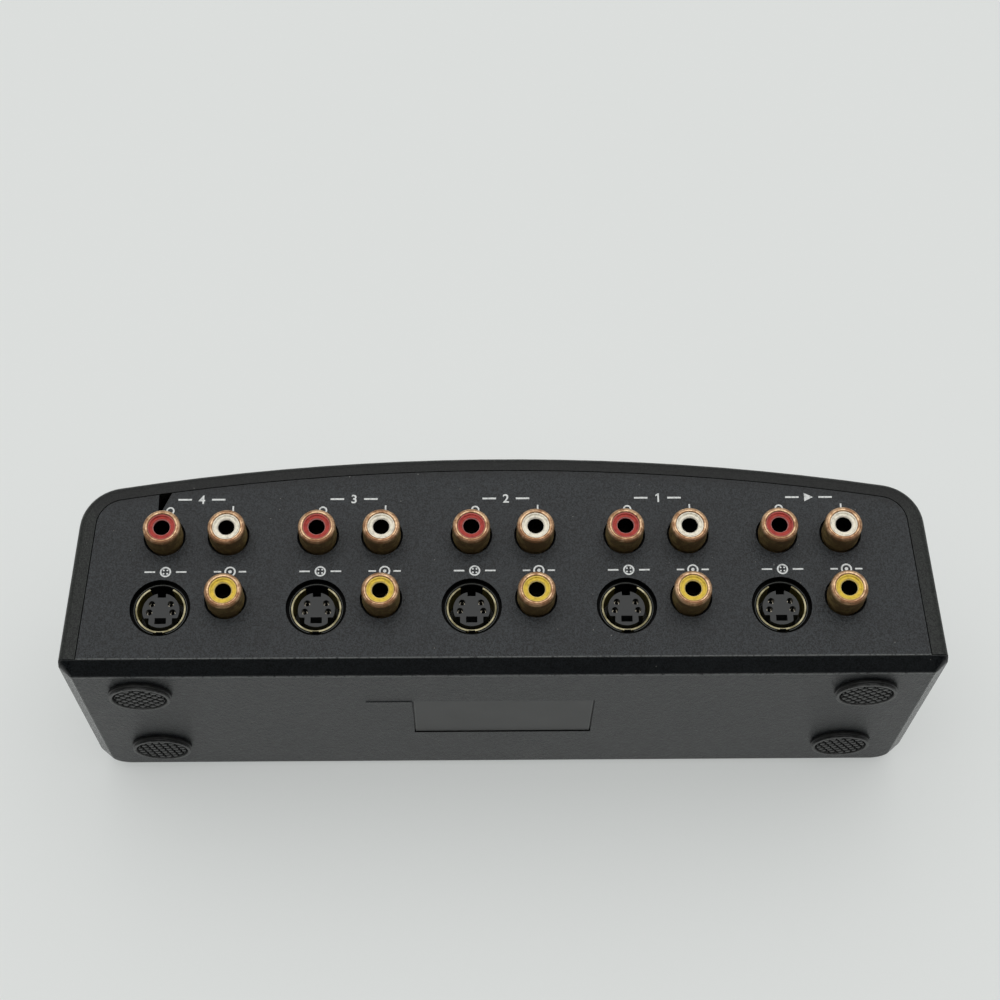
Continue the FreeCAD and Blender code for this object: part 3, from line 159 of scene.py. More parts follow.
class Net:
    """A node tree whose sockets take numbers, colours or signals."""

    def __init__(self, tree):
        self.tree = tree

    def feed(self, socket, value):
        if isinstance(value, Signal):
            self.tree.links.new(value.socket, socket)
        elif socket.type == "RGBA":
            socket.default_value = (*value, 1)
        else:
            socket.default_value = value

    def node(self, kind, settings=None, *values, out=0, **named):
        """Add one node: its settings first, then the values or links of its sockets."""
        made = self.tree.nodes.new(kind)
        for name, value in (settings or {}).items():
            setattr(made, name, value)
        for key, value in [*enumerate(values), *named.items()]:
            self.feed(made.inputs[key], value)
        return Signal(self, made.outputs[out])

    def math(self, operation, *values):
        return self.node("ShaderNodeMath", {"operation": operation}, *values)

    def dot(self, first, second):
        return self.node("ShaderNodeVectorMath", {"operation": "DOT_PRODUCT"}, first, second, out="Value")

    def mix(self, first, second, factor):
        """Colour that goes from first to second with the factor."""
        made = self.tree.nodes.new("ShaderNodeMix")
        made.data_type = "RGBA"
        for socket, value in zip((made.inputs[0], made.inputs[6], made.inputs[7]), (factor, first, second)):
            self.feed(socket, value)
        return Signal(self, made.outputs[2])


class Finish(Net):
    """The node tree of a material, round its main shader."""

    def __init__(self, name, **sockets):
        self.material = bpy.data.materials.new(name)
        self.material.use_nodes = True
        super().__init__(self.material.node_tree)
        self.shader = self.tree.nodes["Principled BSDF"]
        self.set(**sockets)

    def set(self, **sockets):
        for name, value in sockets.items():
            self.feed(self.shader.inputs[name.replace("_", " ")], value)

    def place(self):
        return self.node("ShaderNodeTexCoord", out="Object")

    def axis(self, letter):
        """Millimetres along one of the unit's axes."""
        return self.node("ShaderNodeSeparateXYZ", None, self.place(), out=letter) * (1 / MM)

    def from_jack(self, low):
        """Millimetres from, and above, the axis of the nearest jack, of the upper row or at the height low."""
        half = GROUP_PITCH / 2
        across = abs(self.math("WRAP", self.axis("X"), half, -half)) - JACK_SPREAD / 2
        up = self.axis("Z")
        upper = self.math("GREATER_THAN", up, (AUDIO_HEIGHT + low) / 2)
        rise = up - upper * (AUDIO_HEIGHT - low) - low
        return self.math("SQRT", across * across + rise * rise), rise

    def from_foot(self):
        """Millimetres from the axis of the nearest foot."""
        across = abs(self.axis("X")) - FOOT_ACROSS
        along = abs(self.axis("Y") - sum(FOOT_ROWS) / 2) - (FOOT_ROWS[0] - FOOT_ROWS[1]) / 2
        return self.math("SQRT", across * across + along * along)

    def noise(self, size, detail, stretch=(1, 1, 1)):
        """Cloudy noise with features of about size millimetres, longer where stretch is larger."""
        scale = tuple(1 / (size * MM * along) for along in stretch)
        spot = self.node("ShaderNodeVectorMath", {"operation": "MULTIPLY"}, self.place(), scale)
        return self.node("ShaderNodeTexNoise", None, Vector=spot, Scale=1.0, Detail=detail)

    def specks(self, spacing, radius, share):
        """Small spots: one cell in so many holds one, radius as a share of the spacing."""
        settings = {"feature": "F1"}
        scale = 1 / (spacing * MM)
        reach = self.node("ShaderNodeTexVoronoi", settings, Vector=self.place(), Scale=scale)
        lot = self.node("ShaderNodeTexVoronoi", settings, Vector=self.place(), Scale=scale, out="Color")
        drawn = self.node("ShaderNodeSeparateXYZ", None, lot)
        return reach.ramp(radius, radius * 0.5) * drawn.ramp(1 - share, 1 - share + 0.01)

    def bump(self, height, distance, strength=1.0):
        """Lean the normal by a height; distance is the height's reach in millimetres."""
        normal = self.node("ShaderNodeBump", None, Strength=strength, Distance=distance * MM, Height=height)
        self.set(Normal=normal)


def plain(value):
    """A screen colour of 0 to 255 as a linear one."""
    share = value / 255
    return share / 12.92 if share <= 0.04045 else ((share + 0.055) / 1.055) ** 2.4


def colour(red, green, blue):
    return plain(red), plain(green), plain(blue)


# Finishes

def grained_plastic(name, pit, peak, roughness, level, shadow=0.0):
    """Spark-eroded black plastic: fine grain, cloudy handling marks, a little dust, short scratches.

    The rear slope is smoother and darker with painted shade, and its edges are pale with painted highlights;
    the strips along the ends of the base are painted pale as a sheen, the rear edge of the arch has painted
    shade that darkens it towards its crest, and the base's grain is coarser. shadow blackens the cut faces
    inside the rear wall's holes and the label's recess.
    """
    finish = Finish(name, Specular_IOR_Level=level)
    grain = finish.noise(0.27, 2.0)
    fine = finish.noise(0.6, 1.0)
    mottle = finish.noise(2.2, 3.0)
    cloud = finish.noise(18.0, 4.0)
    dust = finish.specks(1.9, 0.08, 0.16)
    pale = grain.ramp(0.4, 0.6) * 0.7 + fine.ramp(0.35, 0.7) * 0.2 + cloud.ramp(0.35, 0.75) * 0.1
    tone = finish.mix(pit, peak, pale)
    slope = finish.axis("Y").ramp(SLOPE_FOOT, SLOPE_FOOT + 0.15)
    slope = slope * abs(finish.axis("X")).ramp(CASE_HALF, CASE_HALF - 0.2)
    slope = slope * finish.axis("Z").ramp(SLOPE_TOP, SLOPE_TOP - 0.15)
    strip = abs(finish.axis("X")).ramp(STRIP_INNER, STRIP_INNER + 0.3)
    strip = strip * finish.axis("Z").ramp(TRAY_TOP, TRAY_TOP - 0.2)
    # painted shade: the rear slope is darkened towards black, standing for the dark it reflects
    tone = finish.mix(tone, tuple(0.5 * part for part in pit), slope * 0.5)
    # painted sheen: the strips along the ends of the base are made pale, standing for the table they reflect
    tone = finish.mix(tone, colour(92, 95, 93), strip * (1.0 - slope) * 0.6)
    crest = finish.axis("Z") + finish.math("POWER", finish.axis("X"), 2.0) * (0.5 / ARCH_RADIUS)
    crest = crest.ramp(*CREST) * finish.axis("Y").ramp(REAR_FACE - 0.78, REAR_FACE - 0.08)
    # painted shade: the arch's rear edge darkens towards near-black at its crest
    tone = finish.mix(tone, (0.0006, 0.0006, 0.0006), crest * 0.65)
    scratch = finish.noise(0.4, 2.0, stretch=(26, 1, 1)).ramp(0.76, 0.82)
    upper = finish.axis("Z").near(SLOPE_TOP + 0.08, 0.22)
    upper = upper * finish.axis("Y").ramp(REAR_FACE - 0.38, REAR_FACE - 0.08)
    lower = finish.axis("Y").near(SLOPE_FOOT - 0.2, 0.5)
    lower = lower * finish.axis("Z").ramp(UNDERSIDE + 0.3, UNDERSIDE + 0.1)
    edge = (upper * 0.8 + lower) * fine.ramp(0.2, 0.55)
    tone = finish.mix(tone, colour(70, 72, 70), scratch * 0.3)
    # painted highlight: pale lines along the rear slope's upper and lower edges, broken up by noise
    tone = finish.mix(tone, colour(116, 119, 117), edge.least(1.0) * 0.8)
    tone = finish.mix(tone, colour(140, 138, 132), dust * 0.7)
    sunk = finish.axis("Y").ramp(REAR_FACE - 0.15, REAR_FACE - 0.5)
    sunk = sunk * finish.axis("Z").ramp(SLOPE_TOP + 0.3, SLOPE_TOP + 0.8)
    across, along = RECESS_REACH
    recess = finish.axis("Z").ramp(UNDERSIDE + 0.02, UNDERSIDE + 0.06)
    recess = recess * abs(finish.axis("X")).ramp(across, across - 0.2)
    recess = recess * abs(finish.axis("Y")).ramp(along, along - 1.0)
    tone = finish.mix(tone, (0.0004, 0.0004, 0.0004), (sunk + recess).least(1.0) * shadow)
    finish.set(Base_Color=tone,
               Roughness=cloud * 0.06 + mottle * 0.1 + (roughness - 0.08) + dust * 0.2 - strip * 0.1)
    base = finish.axis("Z").ramp(UNDERSIDE + 0.3, UNDERSIDE + 0.1)
    coarse = finish.noise(0.62, 1.0, stretch=(1, 2.4, 1))
    finish.bump((grain * 0.8 + fine * 0.4) * (1.0 - slope * 0.8) + coarse * base * 0.8, 0.16)
    return finish


def satin_plastic(name, base, roughness):
    """Moulded plastic with a faint flow mark and light wear."""
    finish = Finish(name)
    cloud = finish.noise(3.0, 3.0)
    grain = finish.noise(0.3, 2.0)
    darker = tuple(0.78 * part for part in base)
    finish.set(Base_Color=finish.mix(darker, base, cloud.ramp(0.25, 0.6)),
               Roughness=cloud * 0.15 + (roughness - 0.07))
    finish.bump(grain, 0.01, 0.5)
    return finish


def label_film(name):
    """Smooth blank film, whose cut edge shows paler on three sides."""
    finish = Finish(name)
    cloud = finish.noise(7.0, 3.0)
    rim = abs(finish.axis("X")).near(LABEL_HALF, 0.4) * 0.4 + finish.axis("Y").near(LABEL_FRONT, 0.9) * 0.4
    tone = finish.mix(colour(20, 23, 22), colour(30, 33, 31), cloud.ramp(0.35, 0.7))
    tone = finish.mix(tone, colour(120, 122, 120), rim.least(1.0))
    finish.set(Base_Color=tone, Roughness=cloud * 0.1 + 0.34)
    finish.bump(finish.noise(0.6, 3.0), 0.01, 0.4)
    return finish


def insert_plastic(name, base):
    """Coloured insulator of a phono jack: painted highlights at rim and mouth, light soil, painted shade in its
    ring and bore.
    """
    finish = Finish(name, Specular_IOR_Level=0.3)
    radius = finish.from_jack(VIDEO_HEIGHT)[0]
    soil = finish.noise(0.9, 4.0).ramp(0.42, 0.75)
    lit = finish.axis("Y").ramp(INSERT_FACE - 0.6, INSERT_FACE - 0.15)
    mouth_and_edge_highlight = radius.near(MOUTH_RADIUS, 0.14) * 0.3 + radius.near(INSERT_EDGE, 0.1) * 0.14
    darker = tuple(0.6 * part for part in base)
    # darker: light soil, plus painted shade in the groove round the insert's face
    tone = finish.mix(base, darker, soil * 0.8 + radius.near(INSERT_RING, 0.14) * 0.35)
    # painted highlight: pale lines round the bore's mouth and the insert's outer edge
    tone = finish.mix(tone, (0.8, 0.78, 0.75), mouth_and_edge_highlight)
    # painted shade: below its face the insert turns near-black, standing for the dark bore
    finish.set(Base_Color=finish.mix((0.0006, 0.0005, 0.0005), tone, lit), Roughness=soil * 0.2 + 0.32)
    finish.bump(finish.noise(0.25, 3.0), 0.012, 0.5)
    return finish


def tarnished_gold(name):
    """Gold plating of the shells: bright on the lip, with a ring rubbed into it, dull olive on the barrel, and
    painted shade below each jack's axis.
    """
    finish = Finish(name)
    radius, rise = finish.from_jack(VIDEO_HEIGHT)
    # patch: tarnish noise, plus painted shade that darkens lip and barrel below each jack's axis
    patch = (finish.noise(1.5, 4.0).ramp(0.38, 0.66) + rise.ramp(-1.6, -3.8) * 0.6).least(1.0)
    stain = finish.noise(0.4, 3.0).ramp(0.4, 0.68)
    pit = finish.specks(0.5, 0.22, 0.3)
    lip = finish.axis("Y").ramp(JACK_TIP - 0.86, JACK_TIP - 0.6)
    groove = radius.near(LIP_RING, 0.13) * lip
    # rubbed: a worn ring and stains, with painted shade making the ring darker below the axis
    rubbed = groove * (rise.ramp(2.0, -2.0) * 0.6 + 0.4) + stain * 0.3
    bright = finish.mix(colour(232, 197, 157), colour(172, 131, 96), patch)
    dull = finish.mix(colour(168, 148, 94), colour(122, 102, 66), patch)
    tone = finish.mix(dull, bright, lip)
    tone = finish.mix(tone, colour(120, 80, 58), rubbed.least(1.0))
    tone = finish.mix(tone, colour(52, 38, 28), pit * 0.6)
    finish.set(Base_Color=tone, Metallic=lip * 0.4 + 0.48,
               Roughness=patch * 0.12 + pit * 0.15 + stain * 0.08 + 0.52 - lip * 0.17)
    finish.bump(finish.noise(0.16, 2.0, stretch=(1, 6, 1)) + stain * 0.8 - groove * 1.2, 0.014, 0.8)
    return finish


def rolled_shield(name):
    """Thin plated ring of an S-video jack, gone grey and olive, with painted shade in the notch at its foot."""
    finish = Finish(name, Metallic=0.9)
    patch = finish.noise(2.4, 3.0).ramp(0.35, 0.65)
    face = finish.axis("Y").ramp(REAR_FACE - 2.2, REAR_FACE - 0.6)
    radius, rise = finish.from_jack(SVIDEO_HEIGHT)
    aside = finish.math("SQRT", radius * radius - rise * rise)
    notch_shade = aside.ramp(0.75, 0.65) * rise.ramp(-3.0, -4.0)
    rim = finish.mix(colour(152, 147, 128), colour(94, 91, 80), patch)
    tone = finish.mix(colour(176, 162, 76), rim, face)
    notch_shade = notch_shade * radius.ramp(SHIELD_OUTSIDE, SHIELD_OUTSIDE + 0.06)
    # painted shade: black in place of the notch at the ring's foot, which the geometry lacks
    tone = finish.mix(tone, (0.001, 0.001, 0.001), notch_shade)
    finish.set(Base_Color=tone, Roughness=patch * 0.15 + 0.32)
    finish.bump(finish.noise(0.2, 2.0, stretch=(1, 5, 1)), 0.006, 0.5)
    return finish


def collar_plastic(name):
    """Black housing of a block of jacks, darkened further by painted shade, with a painted highlight on the
    outer edge of the S-video collar.
    """
    finish = Finish(name, Specular_IOR_Level=0.08)
    cloud = finish.noise(3.0, 3.0)
    radius, rise = finish.from_jack(SVIDEO_HEIGHT)
    edge = radius.near(COLLAR_EDGE, 0.12) * rise.ramp(-5.66, -5.5)
    # black plastic, made near-black as painted shade of the holes round the jacks
    tone = finish.mix(colour(1, 1, 1), colour(3, 3, 3), cloud)
    # painted highlight: a pale line on the outer edge of the S-video collar
    finish.set(Base_Color=finish.mix(tone, colour(96, 98, 94), edge * 0.7), Roughness=cloud * 0.1 + 0.5)
    finish.bump(finish.noise(0.3, 2.0), 0.01, 0.5)
    return finish


def sheet_metal(name, base, roughness):
    """Drawn or rolled metal with fine lines along X and faint stains."""
    finish = Finish(name, Metallic=1.0)
    line = finish.noise(0.15, 3.0, stretch=(30, 1, 1))
    stain = finish.noise(6.0, 4.0)
    darker = tuple(0.6 * part for part in base)
    finish.set(Base_Color=finish.mix(base, darker, stain.ramp(0.45, 0.8)),
               Roughness=line * 0.2 + (roughness - 0.1))
    finish.bump(line, 0.004, 0.5)
    return finish


def rubber(name):
    """Black rubber: pale dust and painted sheen on its lowest faces and sole ring, painted shade in the
    grooves.
    """
    finish = Finish(name, Specular_IOR_Level=0.45)
    dust = finish.noise(0.8, 4.0)
    high = finish.axis("Z")
    low = high.ramp(0.5, 0.1)
    # pale dust, weighted to the lowest faces as a painted sheen on the tread's tops
    tone = finish.mix(colour(24, 25, 25), colour(92, 93, 91), dust.ramp(0.25, 0.7) * (low * 0.75 + 0.15))
    reach = finish.from_foot()
    # painted sheen: the sole ring's flat face is made a little paler
    tone = finish.mix(tone, colour(108, 109, 107), reach.ramp(5.9, 6.05) * high.ramp(0.12, 0.04) * 0.12)
    # painted shade: the tread's sunk floor and grooves go near-black
    sunk = reach.ramp(5.97, 5.93) * high.ramp(0.3, 0.6)
    tone = finish.mix(tone, (0.0003, 0.0003, 0.0003), sunk)
    finish.set(Base_Color=tone, Roughness=dust * 0.12 + 0.36 + sunk * 0.5)
    finish.bump(finish.noise(0.25, 3.0), 0.02, 0.5)
    return finish


def laminate(name):
    """Brown board laminate with a woven shimmer."""
    finish = Finish(name)
    weave = finish.noise(0.5, 2.0, stretch=(4, 1, 1))
    tone = finish.mix(colour(120, 84, 44), colour(146, 108, 62), weave)
    finish.set(Base_Color=tone, Roughness=weave * 0.1 + 0.45)
    finish.bump(weave, 0.01, 0.4)
    return finish


def printed_ink(name):
    """Screen-printed pale grey ink, rubbed thin in places."""
    finish = Finish(name, Roughness=0.55)
    rub = finish.noise(0.5, 4.0)
    finish.set(Base_Color=finish.mix(colour(186, 189, 188), colour(226, 229, 227), rub.ramp(0.3, 0.5)))
    finish.bump(rub, 0.005, 0.4)
    return finish


FINISHES = {
    "case_plastic": grained_plastic(
        "case_plastic_finish", pit=colour(2, 3, 4), peak=colour(48, 53, 56), roughness=0.37, level=0.36,
        shadow=1.0),
    "cover_plastic": grained_plastic(
        "cover_plastic_finish", pit=colour(2, 4, 3), peak=colour(43, 47, 43), roughness=0.4, level=0.3),
    "label_film": label_film("label_finish"),
    "fascia_plastic": satin_plastic("fascia_finish", colour(30, 30, 32), 0.22),
    "button_plastic": satin_plastic("button_finish", colour(66, 68, 70), 0.4),
    "foot_rubber": rubber("foot_finish"),
    "housing_plastic": collar_plastic("housing_finish"),
    "gold_plate": tarnished_gold("gold_finish"),
    "red_plastic": insert_plastic("red_finish", colour(180, 50, 36)),
    "white_plastic": insert_plastic("white_finish", colour(255, 248, 228)),
    "yellow_plastic": insert_plastic("yellow_finish", colour(236, 202, 62)),
    "insulator_grey": satin_plastic("insulator_finish", colour(38, 40, 40), 0.5),
    "contact_metal": sheet_metal("contact_finish", colour(56, 48, 38), 0.35),
    "board_laminate": laminate("laminate_finish"),
    "header_plastic": satin_plastic("header_finish", colour(222, 218, 204), 0.45),
    "cable_plastic": satin_plastic("cable_finish", colour(164, 166, 170), 0.4),
    "sheet_steel": sheet_metal("sheet_steel_finish", colour(190, 190, 186), 0.34),
    "screw_steel": sheet_metal("screw_finish", colour(150, 150, 152), 0.36),
    "spring_steel": sheet_metal("spring_finish", colour(184, 184, 184), 0.3),
    "plunger_plastic": satin_plastic("plunger_finish", colour(220, 217, 208), 0.42),
    "block_plastic": satin_plastic("block_finish", colour(176, 148, 100), 0.5),
}
INK = printed_ink("ink_finish")
SHIELD = rolled_shield("shield_finish")
PRONG = sheet_metal("prong_finish", colour(196, 188, 170), 0.3)


def finish_nodes():
    """Give every CAD node the finish of its slot, and the S-video rings their own."""
    for row in frame["record"]["subparts"]:
        finish = SHIELD if row["node"].endswith("svideo_shield") else FINISHES[row["material_slot"]]
        for slot in NODES[row["node"]].material_slots:
            slot.material = finish.material


# New pieces

def piece(name, vertices, faces, finish, smooth=True):
    """A mesh in the unit's frame from arrays in millimetres."""
    mesh = bpy.data.meshes.new(name)
    mesh.from_pydata((np.asarray(vertices) * MM).tolist(), [], faces)
    mesh.update()
    mesh.shade_smooth() if smooth else mesh.shade_flat()
    mesh.materials.append(finish.material)
    made = bpy.data.objects.new(name, mesh)
    bpy.context.scene.collection.objects.link(made)
    return made


def ring_faces(rows, columns):
    """Quads of a grid that closes round its columns, as lists of indices."""
    row, column = np.meshgrid(np.arange(rows - 1), np.arange(columns), indexing="ij")
    after = (column + 1) % columns
    corners = (row * columns + column, row * columns + after, (row + 1) * columns + after,
               (row + 1) * columns + column)
    return np.stack(corners, -1).reshape(-1, 4).tolist()


def smooth_step(value):
    value = np.clip(value, 0, 1)
    return value * value * (3 - 2 * value)


FOOT_TREAD = dict(radius=5.6, pitch=1.62, half=0.6, soft=0.14, low=0.12, floor=1.0)
FOOT_RIM = (
    (5.95, 1.0), (5.95, 0.1), (5.98, 0.03), (6.05, 0.0), (6.54, 0.0), (6.63, 0.03), (6.66, 0.1), (6.66, 0.25),
    (6.63, 0.3), (6.4, 0.3), (6.35, 0.34), (6.35, 0.66), (6.4, 0.7), (6.78, 0.7), (6.84, 0.74), (6.85, 0.82),
    (6.85, 1.5))
FEET = {
    "foot_rear_left": (-FOOT_ACROSS, FOOT_ROWS[0], 47.0),
    "foot_rear_right": (FOOT_ACROSS, FOOT_ROWS[0], 45.0),
    "foot_front_left": (-FOOT_ACROSS, FOOT_ROWS[1], 60.5),
    "foot_front_right": (FOOT_ACROSS, FOOT_ROWS[1], 79.0),
}


def tread_height(x, y):
    """Height of the tread: rounded squares on a square grid, that stand down from a sunk floor.

    Along each axis a square counts 1 within half of its middle and falls to 0 over soft. The two counts
    and that of the disc, which falls to 0 at its radius, are multiplied. A shallow dome rounds each top.
    """
    pitch, half, soft, low, floor, radius = (
        FOOT_TREAD[key] for key in ("pitch", "half", "soft", "low", "floor", "radius"))
    reach = [np.abs((part / pitch + 0.5) % 1 - 0.5) * pitch for part in (x, y)]
    squares = np.prod([smooth_step((half - part) / soft + 0.5) for part in reach], axis=0)
    squares = squares * smooth_step((radius - np.hypot(x, y)) / soft)
    dome = 0.06 * (reach[0] ** 2 + reach[1] ** 2) / half ** 2
    return floor - (floor - low - dome) * squares


def moulded_foot(name, across, along, turn):
    """A foot as a profile carried round its axis, with the tread on its sunk disc.

    Point (i, j) stands at radius r(i), angle 2 pi j / n and height z(i); on the disc the height is
    tread_height of its place in the foot's own turned axes.
    """
    columns, disc_rows = 240, 80
    rim = np.array(FOOT_RIM)
    disc = np.linspace(0.03, rim[0, 0], disc_rows)
    radii = np.concatenate([disc, rim[1:, 0], [0.03]])
    angle = np.arange(columns) * (2 * math.pi / columns)
    x = radii[:, None] * np.cos(angle)
    y = radii[:, None] * np.sin(angle)
    tread = tread_height(x[:disc_rows], y[:disc_rows])
    sides = np.concatenate([rim[1:, 1], [rim[-1, 1]]])
    z = np.concatenate([tread, np.repeat(sides[:, None], columns, axis=1)])
    spin = math.radians(turn)
    place = np.stack([
        across + x * math.cos(spin) - y * math.sin(spin),
        along + x * math.sin(spin) + y * math.cos(spin), z], -1).reshape(-1, 3)
    rows = len(radii)
    faces = [list(reversed(face)) for face in ring_faces(rows, columns)]
    faces.append(list(range(columns)))
    faces.append(list(range((rows - 1) * columns, rows * columns))[::-1])
    made = piece(name + "_moulding", place, faces, FINISHES["foot_rubber"])
    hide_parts(name)
    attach(made, "case")


def return_springs():
    """The springs behind the buttons, as round wire carried along a helix, that the buttons press together.

    At angle a the wire's middle stands at the helix's radius and has gone one pitch a turn to the rear. Its
    section at angle b is outward times cos b plus across times sin b, where across stands at right angles to
    outward and to the way of the wire.
    """
    front, rear, radius, wire, turns = (SPRING[key] for key in ("front", "rear", "radius", "wire", "turns"))
    rows, columns = 24 * turns + 1, 12
    angle = np.linspace(0, 2 * math.pi * turns, rows)
    rise = (rear - front - wire) / (2 * math.pi * turns)
    outward = np.stack([-np.cos(angle), np.zeros(rows), np.sin(angle)], -1)
    way = np.stack([radius * np.sin(angle), np.full(rows, rise), radius * np.cos(angle)], -1)
    across = np.cross(way / np.linalg.norm(way, axis=1, keepdims=True), outward)
    section = np.arange(columns)[None, :, None] * (2 * math.pi / columns)
    tube = (outward * radius)[:, None] + wire / 2 * (
        outward[:, None] * np.cos(section) + across[:, None] * np.sin(section))
    tube[..., 1] += (front + wire / 2 + rise * angle)[:, None]
    faces = ring_faces(rows, columns)
    faces.append(list(range(columns))[::-1])
    faces.append(list(range((rows - 1) * columns, rows * columns)))
    for number in BUTTONS:
        place = tube.reshape(-1, 3) + (BUTTON_PITCH * (number - 2.5), 0, BUTTON_HEIGHT)
        coil = piece(f"return_spring_{number}_coil", place, faces, FINISHES["spring_steel"])
        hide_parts(f"return_spring_{number}")
        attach(coil, "case")
        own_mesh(coil)


# Marks and prongs raised from flat outlines

def outline_disc(x, z, radius, points=28):
    angle = np.arange(points) * (2 * math.pi / points)
    return [np.stack([x + radius * np.cos(angle), z + radius * np.sin(angle)], -1)]


def outline_bar(x, z, width, height):
    return [np.array([[x - width / 2, z - height / 2], [x + width / 2, z - height / 2],
                      [x + width / 2, z + height / 2], [x - width / 2, z + height / 2]])]


def outline_ring(x, z, radius, width, points=28):
    """A ring as quads between two circles."""
    angle = np.arange(points + 1) * (2 * math.pi / points)
    unit = np.stack([np.cos(angle), np.sin(angle)], -1)
    middle = np.array([x, z])
    inner, outer = middle + unit * (radius - width / 2), middle + unit * (radius + width / 2)
    return [np.array([inner[i], outer[i], outer[i + 1], inner[i + 1]]) for i in range(points)]


def outline_text(text, x, z, height):
    """A numeral's faces, centred on a point and as high as height."""
    letters = bpy.data.curves.new("numeral", "FONT")
    letters.body = text
    letters.offset = 0.018
    source = bpy.data.objects.new("numeral", letters)
    mesh = bpy.data.meshes.new_from_object(source)
    flat = np.zeros(len(mesh.vertices) * 3)
    mesh.vertices.foreach_get("co", flat)
    flat = flat.reshape(-1, 3)[:, :2]
    low, high = flat.min(0), flat.max(0)
    scale = height / (high[1] - low[1])
    flat = (flat - (low + high) / 2) * scale + (x, z)
    faces = [flat[list(polygon.vertices)] for polygon in mesh.polygons]
    bpy.data.objects.remove(source)
    bpy.data.curves.remove(letters)
    return faces


def raise_outlines(name, outlines, face, towards, body, thickness=0.03, finish=None):
    """Flat outlines of (across, up) on a face, such as ink, given a thickness that stands off the face.

    towards is +1 for a face that looks to +Y, where across runs to -X, and -1 for one that looks to -Y.
    Corners that meet are one, and a wall stands only where an outline meets no other.
    """
    corners, index = np.unique(np.round(np.concatenate(outlines), 5), axis=0, return_inverse=True)
    count = len(corners)
    layers = [
        np.stack([corners[:, 0] * -towards, np.full(count, face + towards * lift), corners[:, 1]], -1)
        for lift in (0.0, thickness)]
    ends = np.cumsum([len(outline) for outline in outlines])[:-1]
    loops = [loop.tolist() for loop in np.split(index.reshape(-1), ends)]
    edges = {edge for loop in loops for edge in zip(loop, loop[1:] + loop[:1])}
    faces = [[corner + count for corner in loop] for loop in loops] + [loop[::-1] for loop in loops]
    faces += [[a, b, b + count, a + count] for a, b in sorted(edges) if (b, a) not in edges]
    made = piece(name, np.concatenate(layers), faces, finish or INK, smooth=False)
    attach(made, body)


ONE = np.array([(0.0, -0.5), (0.17, -0.5), (0.17, 0.5), (0.03, 0.5), (-0.2, 0.34), (-0.2, 0.17), (0.0, 0.3)])


def outline_number(number, x, z, height):
    """A numeral; the one is a stem with a flag, given as shares of its height."""
    if number == 1:
        return [ONE * height + (x, z)]
    return outline_text(str(number), x, z, height)


def rear_marks():
    """Numerals over the inputs, an arrow over the output, and plain signs over each jack.

    Across runs to the right as seen from behind, so the output is at the right-hand end.
    """
    stroke, word, dash, sign = 0.36, 42.0, 2.3, 24.65
    for index, group in enumerate(GROUPS):
        middle = GROUP_PITCH * (2 - index)
        centre, right, left = middle + 0.7, middle - 6.3, middle + 7.7
        if index:
            marks = outline_number(int(group[-1]), centre, word, 2.1)
        else:
            marks = [np.array([[centre - 1.0, word - 1.0], [centre + 1.0, word], [centre - 1.0, word + 1.0]])]
        for side in (-1, 1):
            marks += outline_bar(centre + side * 3.7, word, 3.0, 0.42)
            marks += outline_bar(right + side * 3.4, sign, dash, stroke)
            marks += outline_bar(left + side * 2.7, sign, dash * 0.7, stroke)
            for rise in (-1, 1):
                marks += outline_disc(right + side * 0.4, sign + rise * 0.4, 0.2, 12)
        marks += outline_ring(right, sign, 1.05, stroke) + outline_ring(left, sign, 1.05, stroke)
        marks += outline_disc(left, sign, 0.38)
        marks += outline_ring(middle - 6.1, 39.3, 0.75, stroke) + outline_bar(middle + 7.7, 39.4, stroke, 2.0)
        raise_outlines(f"{group}_marks", marks, REAR_FACE, 1, "case")


def button_marks():
    for number in BUTTONS:
        middle = BUTTON_PITCH * (number - 2.5)
        numeral = outline_number(number, middle, BUTTON_HEIGHT, 3.4)
        raise_outlines(f"button_{number}_numeral", numeral, BUTTON_FACE, -1, f"selector_{number}")


def contact_prongs():
    """Two sprung prongs in each pin hole of the S-video jacks: most of a tube, split above and below."""
    prongs = []
    for index in range(len(GROUPS)):
        middle = GROUP_PITCH * (2 - index) - JACK_SPREAD / 2
        for across, rise in PIN_PLACES:
            for side in (-1, 1):
                tube = outline_ring(middle + side * across, SVIDEO_HEIGHT + rise, 0.52, 0.18, 24)
                prongs += tube[:4] + tube[8:16] + tube[20:]
    raise_outlines("svideo_contact_prongs", prongs, PRONG_ROOT, 1, "case", PRONG_TIP - PRONG_ROOT,
                   PRONG)


# Stage, light and camera

SHEET = (0.83, 0.85, 0.835)
GLOW = (0.79, 0.815, 0.8)
GLOW_SHARE = 0.45
ROOM = (0.77, 0.79, 0.778)
OVERHEAD = (0.0, 0.993, 0.12)
SHADE = (0.0, 0.3, -0.954)
LENS = 72.082
EYE = (0.007108, 0.4303796, -0.1475116)
FORWARD = (-0.014646, -0.90439, 0.426455)
UPWARD = (-0.004448, 0.426555, 0.90445)


